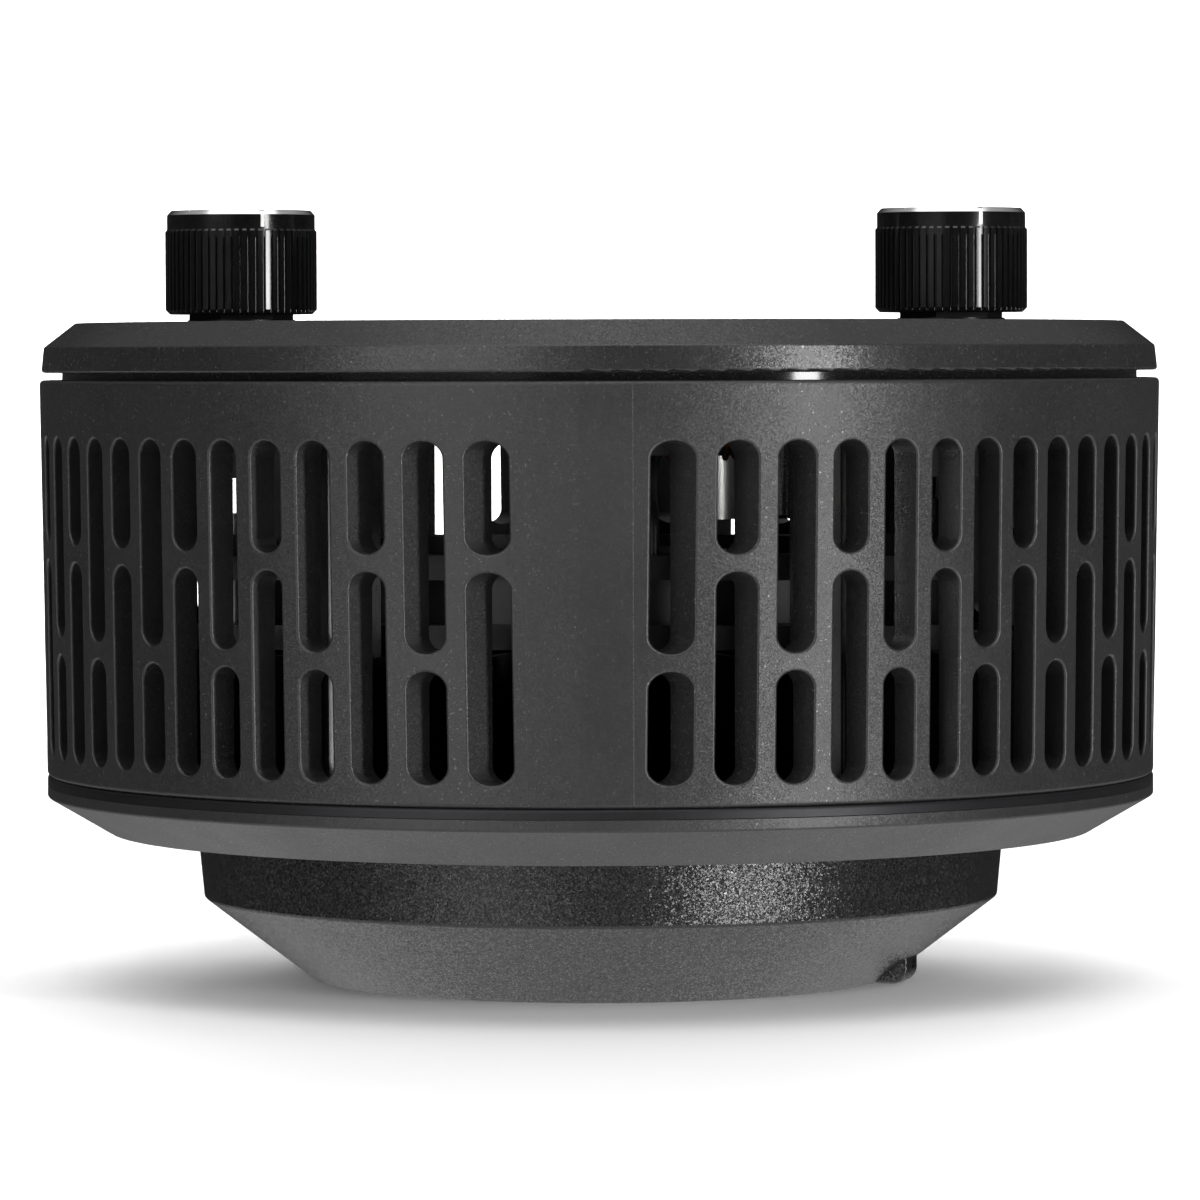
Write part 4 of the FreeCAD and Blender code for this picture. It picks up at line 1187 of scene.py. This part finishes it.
FAN_PLASTIC = Moulded("fan_plastic", (0.008, 0.008, 0.008), roughness=0.35, grain=2400.0, glint_specks=0.8,
                      glint_lift=0.02, strength=0.2, dust=0.5)
PLUG_PLASTIC = Moulded("plug_plastic", (0.02, 0.02, 0.021), roughness=0.4, grain=3000.0, glint_specks=0.8,
                       glint_lift=0.03, strength=0.2)
WHITE_PLASTIC = Moulded("white_plastic", (0.78, 0.78, 0.76), roughness=0.42, grain=3000.0, glint_specks=0.9,
                        glint_lift=0.02, strength=0.15, dust=0.1)
WHITE_INK = Moulded("white_ink", (0.74, 0.74, 0.72), roughness=0.55, grain=6000.0, glint_specks=0.9, glint_lift=0.02,
                    strength=0.2, dust=0.1)
CAN_SLEEVE = Moulded("can_sleeve", (0.012, 0.012, 0.014), roughness=0.22, grain=1800.0, glint_specks=0.85,
                     glint_lift=0.02, strength=0.1)
HEAT_SINK = Plated("black_anodised", (0.022, 0.022, 0.024), roughness=0.42, metallic=0.7, dust=0.3)
BLACK_SCREW = Plated("black_oxide", (0.03, 0.03, 0.031), roughness=0.32, metallic=0.8)
ZINC = Plated("zinc_plate", (0.56, 0.56, 0.55), roughness=0.3)
STUD_STEEL = Plated("stud_steel", (0.20, 0.20, 0.20), roughness=0.32)
FERRITE = Plated("ferrite", (0.06, 0.06, 0.062), roughness=0.6, metallic=0.3)
SOCKET_SLEEVE = Turned("socket_sleeve", (0.66, 0.66, 0.64), roughness=0.38, pitch=5000.0, depth=0.03 * MM,
                       tarnish=0.35)
NICKEL = Turned("nickel_plate", (0.66, 0.65, 0.62), roughness=0.2, pitch=6000.0)
BRASS = Turned("turned_brass", (0.76, 0.55, 0.25), roughness=0.25)
GREEN_BOARD = CircuitBoard("green_board", (0.012, 0.07, 0.035), (0.03, 0.16, 0.08))
WHITE_BOARD = CircuitBoard("white_board", (0.7, 0.7, 0.69), (0.6, 0.6, 0.59), cell=6.5 * MM)
SLEEVE = Soft("lead_sleeve", (0.012, 0.012, 0.012), roughness=0.35)
RUBBER = Soft("seal_rubber", (0.02, 0.02, 0.02), roughness=0.65)
THERMAL_PAD = Soft("thermal_pad", (0.32, 0.34, 0.38), roughness=0.7)
LENS_GLASS = Clear("lens_clear", (0.95, 0.97, 0.97))
COPPER = Wound("copper_winding", (0.34, 0.12, 0.05))
REFLECTOR = Mirrored("reflector_bright", (0.86, 0.86, 0.87))
PHOSPHOR = Phosphor("phosphor", (0.85, 0.66, 0.12))


def cap_finish(side: str) -> Turned:
    """Bright turned finish centred on one knob's axis.

    Args:
        side: The knob's side.

    Returns:
        The finish.
    """
    low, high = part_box("knob_cap_" + side)
    centre = ((low.x + high.x) / 2, (low.y + high.y) / 2, high.z)
    return Turned("knob_cap_" + side, (0.82, 0.82, 0.83), centre, roughness=0.16, pitch=11000.0,
                  tarnish=0.05)


NODE_FINISHES: dict[str, Finish] = {
    "vent_ring": HOUSING, "top_cover": TOP_COVER, "base_cover": BASE_COVER, "heat_sink": HEAT_SINK,
    "cover_posts": ZINC, "cover_screws": BLACK_SCREW, "base_screws": BLACK_SCREW, "lens_ring": LENS_RING,
    "ring_tab": LENS_RING, "lens": LENS_GLASS, "lens_gasket": RUBBER, "reflector": REFLECTOR,
    "optic_screws": ZINC, "thermal_pad": THERMAL_PAD, "led_board": WHITE_BOARD, "led_emitter": PHOSPHOR,
    "led_holder": WHITE_PLASTIC, "led_screws": ZINC, "fan_frame": FAN_PLASTIC, "fan_rotor": FAN_PLASTIC,
    "fan_magnet": FERRITE, "fan_shaft": ZINC, "fan_bearing": BRASS, "fan_stator": COPPER,
    "fan_screws": STUD_STEEL, "fan_nuts": STUD_STEEL, "power_socket": SOCKET_SLEEVE, "power_pin": NICKEL,
    "power_nut": ZINC, "mount_insert": NICKEL, "control_board": GREEN_BOARD,
    "board_standoffs": ZINC, "board_screws": ZINC, "capacitors": CAN_SLEEVE,
    "inductor": FERRITE, "driver_chips": PLUG_PLASTIC, "board_plugs": PLUG_PLASTIC, "fan_leads": SLEEVE,
    "led_leads": SLEEVE, "pot_nuts": BLACK_SCREW, "pot_washers": BLACK_SCREW, "pot_boards": GREEN_BOARD,
    "pot_plugs": PLUG_PLASTIC, "pot_leads": SLEEVE, "control_jack_in": PLUG_PLASTIC,
    "control_jack_out": PLUG_PLASTIC, "jack_nuts": NICKEL,
}
for _side in ("left", "right"):
    NODE_FINISHES |= {"knob_" + _side: GLOSS_BLACK, "knob_pointer_" + _side: WHITE_INK,
                      "knob_bush_" + _side: BRASS, "pot_shaft_" + _side: ZINC, "pot_" + _side: NICKEL}


# ---------------------------------------------------------------- studio
LAMP_MIDDLE = Vector((0, 0, 45 * MM))
WALL_FOOT = Vector((0, 1.6, 0))


class Side(Enum):
    """Where a soft light stands, as an azimuth from the front in degrees."""

    LEFT = -31.0
    RIGHT = 44.5
    BACK_LEFT = -140.0
    BACK_RIGHT = 140.0


@dataclass
class Studio:
    """Pale seamless floor, soft lights and the camera."""

    reach: float = 3.2
    wall_y: float = 2.2
    wall_height: float = 2.6
    bend: float = 0.9
    eye_distance: float = 0.700
    eye_height: float = 0.0693
    eye_azimuth: float = 1.9
    eye_down: float = 2.229
    eye_roll: float = -0.17
    focal_length: float = 187.3
    dim: float = 0.03
    ceiling: float = 0.35
    floor_glow: float = 0.95

    def floor_material(self) -> bpy.types.Material:
        """Pale paper with a faint tooth, clear on the side its faces point to, which is below.

        Returns:
            The material.
        """
        material, graph, shader = start_material("studio_paper")
        place = graph.place()
        tooth = graph.noise(place, 900.0, 3.0, 0.6)
        cloud = graph.noise(place, 3.0, 2.0, 0.5)
        paper = graph.mix(graph.spread(cloud, 0.3, 0.7), (0.93, 0.93, 0.93), (0.95, 0.95, 0.95))
        graph.put(shader.inputs["Base Color"], paper)
        shader.inputs["Roughness"].default_value = 0.9
        graph.put(shader.inputs["Normal"], graph.bump(tooth, 0.1, 0.1 * MM))
        sides = graph.add("ShaderNodeMixShader")
        graph.put(sides.inputs[0], graph.add("ShaderNodeNewGeometry").outputs["Backfacing"])
        graph.put(sides.inputs[1], graph.add("ShaderNodeBsdfTransparent").outputs[0])
        graph.put(sides.inputs[2], shader.outputs[0])
        output = next(node for node in material.node_tree.nodes if node.type == "OUTPUT_MATERIAL")
        graph.put(output.inputs["Surface"], sides.outputs[0])
        return material

    def sweep(self) -> bpy.types.Object:
        """Floor that curves up into a wall behind the object.

        Returns:
            The floor.
        """
        mesh = bmesh.new()
        steps = 24
        outline = [Vector((-self.reach, -self.reach, 0)), Vector((-self.reach, self.wall_y - self.bend, 0))]
        for k in range(1, steps + 1):
            angle = math.pi / 2 * k / steps
            outline.append(Vector((-self.reach, self.wall_y - self.bend + self.bend * math.sin(angle),
                                   self.bend - self.bend * math.cos(angle))))
        outline.append(Vector((-self.reach, self.wall_y, self.wall_height)))
        verts = [mesh.verts.new(point) for point in outline]
        edges = [mesh.edges.new(pair) for pair in zip(verts, verts[1:])]
        made = bmesh.ops.extrude_edge_only(mesh, edges=edges)
        moved = [item for item in made["geom"] if isinstance(item, bmesh.types.BMVert)]
        bmesh.ops.translate(mesh, verts=moved, vec=(2 * self.reach, 0, 0))
        floor = new_piece("studio_sweep", mesh, self.floor_material(), 60)
        floor.visible_glossy = False
        floor.visible_shadow = False
        return floor

    def soft_light(self, name: str, azimuth: float, elevation: float, distance: float,
                   size: tuple[float, float], power: float, aim: Vector = LAMP_MIDDLE,
                   mirrored: bool = True) -> None:
        """Add a rectangular soft light that faces a point.

        Args:
            name: The light's name.
            azimuth: Degrees from the front towards +X.
            elevation: Degrees above the floor.
            distance: From the aim, in metres.
            size: Width and height in metres.
            power: Watts.
            aim: The point that it faces.
            mirrored: Whether glossy surfaces show its reflection.
        """
        data = bpy.data.lights.new(name, "AREA")
        data.shape = "RECTANGLE"
        data.size, data.size_y = size
        data.energy = power
        light = bpy.data.objects.new(name, data)
        rise = math.radians(elevation)
        light.location = aim + front_point(distance * math.cos(rise), azimuth, distance * math.sin(rise))
        light.rotation_euler = (aim - light.location).to_track_quat("-Z", "Y").to_euler()
        light.visible_camera = False
        light.visible_glossy = mirrored
        bpy.context.scene.collection.objects.link(light)

    def light(self) -> None:
        """Place the lights and the ambient sky."""
        self.soft_light("key_right", Side.RIGHT.value, 17.0, 1.3, (0.13, 0.9), 9.0)
        self.soft_light("low_right", Side.RIGHT.value, -15.0, 1.3, (0.13, 0.6), 7.3)
        self.soft_light("low_left", Side.LEFT.value, -7.0, 1.3, (0.95, 0.28), 2.4)
        self.soft_light("key_left", Side.LEFT.value, 25.0, 1.3, (0.95, 0.8), 5.6)
        self.soft_light("top", 0.0, 78.0, 1.5, (1.6, 1.4), 12.0)
        self.soft_light("rim_left", Side.BACK_LEFT.value, 20.0, 1.6, (0.7, 1.0), 6.0, mirrored=False)
        self.soft_light("rim_right", Side.BACK_RIGHT.value, 20.0, 1.6, (0.7, 1.0), 6.0, mirrored=False)
        self.soft_light("wall_wash", 180.0, 70.0, 1.4, (2.2, 0.6), 60.0, WALL_FOOT, mirrored=False)
        bpy.context.scene.world = self.air()

    def air(self) -> bpy.types.World:
        """Surroundings: dim at eye level, as between black flags, and pale above and below.

        Returns:
            The world.
        """
        world = bpy.data.worlds.new("studio_air")
        world.use_nodes = True
        graph = Graph(world.node_tree)
        split = graph.split(graph.add("ShaderNodeTexCoord").outputs["Generated"])
        above = graph.spread(split.outputs["Z"], 0.30, 0.75, self.dim, self.ceiling)
        below = graph.spread(split.outputs["Z"], -0.60, -0.20, self.floor_glow, 0.0)
        background = world.node_tree.nodes["Background"]
        graph.put(background.inputs["Strength"], graph.math("ADD", above, below))
        background.inputs["Color"].default_value = (1.0, 1.0, 1.0, 1.0)
        return world

    def camera(self) -> bpy.types.Object:
        """Long lens near the height of the lamp's top cover, tilted slightly down.

        Returns:
            The camera.
        """
        data = bpy.data.cameras.new("camera")
        data.lens = self.focal_length
        data.sensor_width = 36.0
        data.clip_start = 0.01
        data.clip_end = 30.0
        camera = bpy.data.objects.new("camera", data)
        place = Matrix.Translation(front_point(self.eye_distance, self.eye_azimuth, self.eye_height))
        turn = Matrix.Rotation(math.radians(self.eye_azimuth), 4, "Z")
        tilt = Matrix.Rotation(math.radians(90.0 - self.eye_down), 4, "X")
        roll = Matrix.Rotation(math.radians(self.eye_roll), 4, "Z")
        camera.matrix_world = place @ turn @ tilt @ roll
        bpy.context.scene.collection.objects.link(camera)
        bpy.context.scene.camera = camera
        return camera

    def build(self) -> None:
        """Set up the whole studio."""
        self.sweep()
        self.light()
        self.camera()
        bpy.context.scene.view_settings.view_transform = "Standard"


# ---------------------------------------------------------------- main
def report(pieces: Iterable[bpy.types.Object]) -> None:
    """Log each made piece with its face count."""
    for piece in pieces:
        LOG.info("piece %s: %d faces", piece.name, len(piece.data.polygons))


def main() -> None:
    """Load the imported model, dress it, add the made pieces and set up the studio."""
    logging.basicConfig(level=logging.INFO, format="%(name)s: %(message)s")
    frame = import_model()
    dresser = Dresser(Effects())
    for node in frame["nodes"]:
        if node.startswith("knob_cap_"):
            dresser.dress(node, cap_finish(node.rsplit("_", 1)[1]))
        else:
            dresser.dress(node, NODE_FINISHES[node])
    report(ControlScales(dresser.material(WHITE_INK)).build())
    report(ChipArray(dresser.material(WHITE_PLASTIC), dresser.material(PHOSPHOR)).build())
    report(WoundInductor(dresser.material(FERRITE), dresser.material(COPPER)).build())
    report(BoardParts(dresser.material(PLUG_PLASTIC), dresser.material(ZINC)).build())
    Studio().build()


if __name__ == "__main__":
    main()
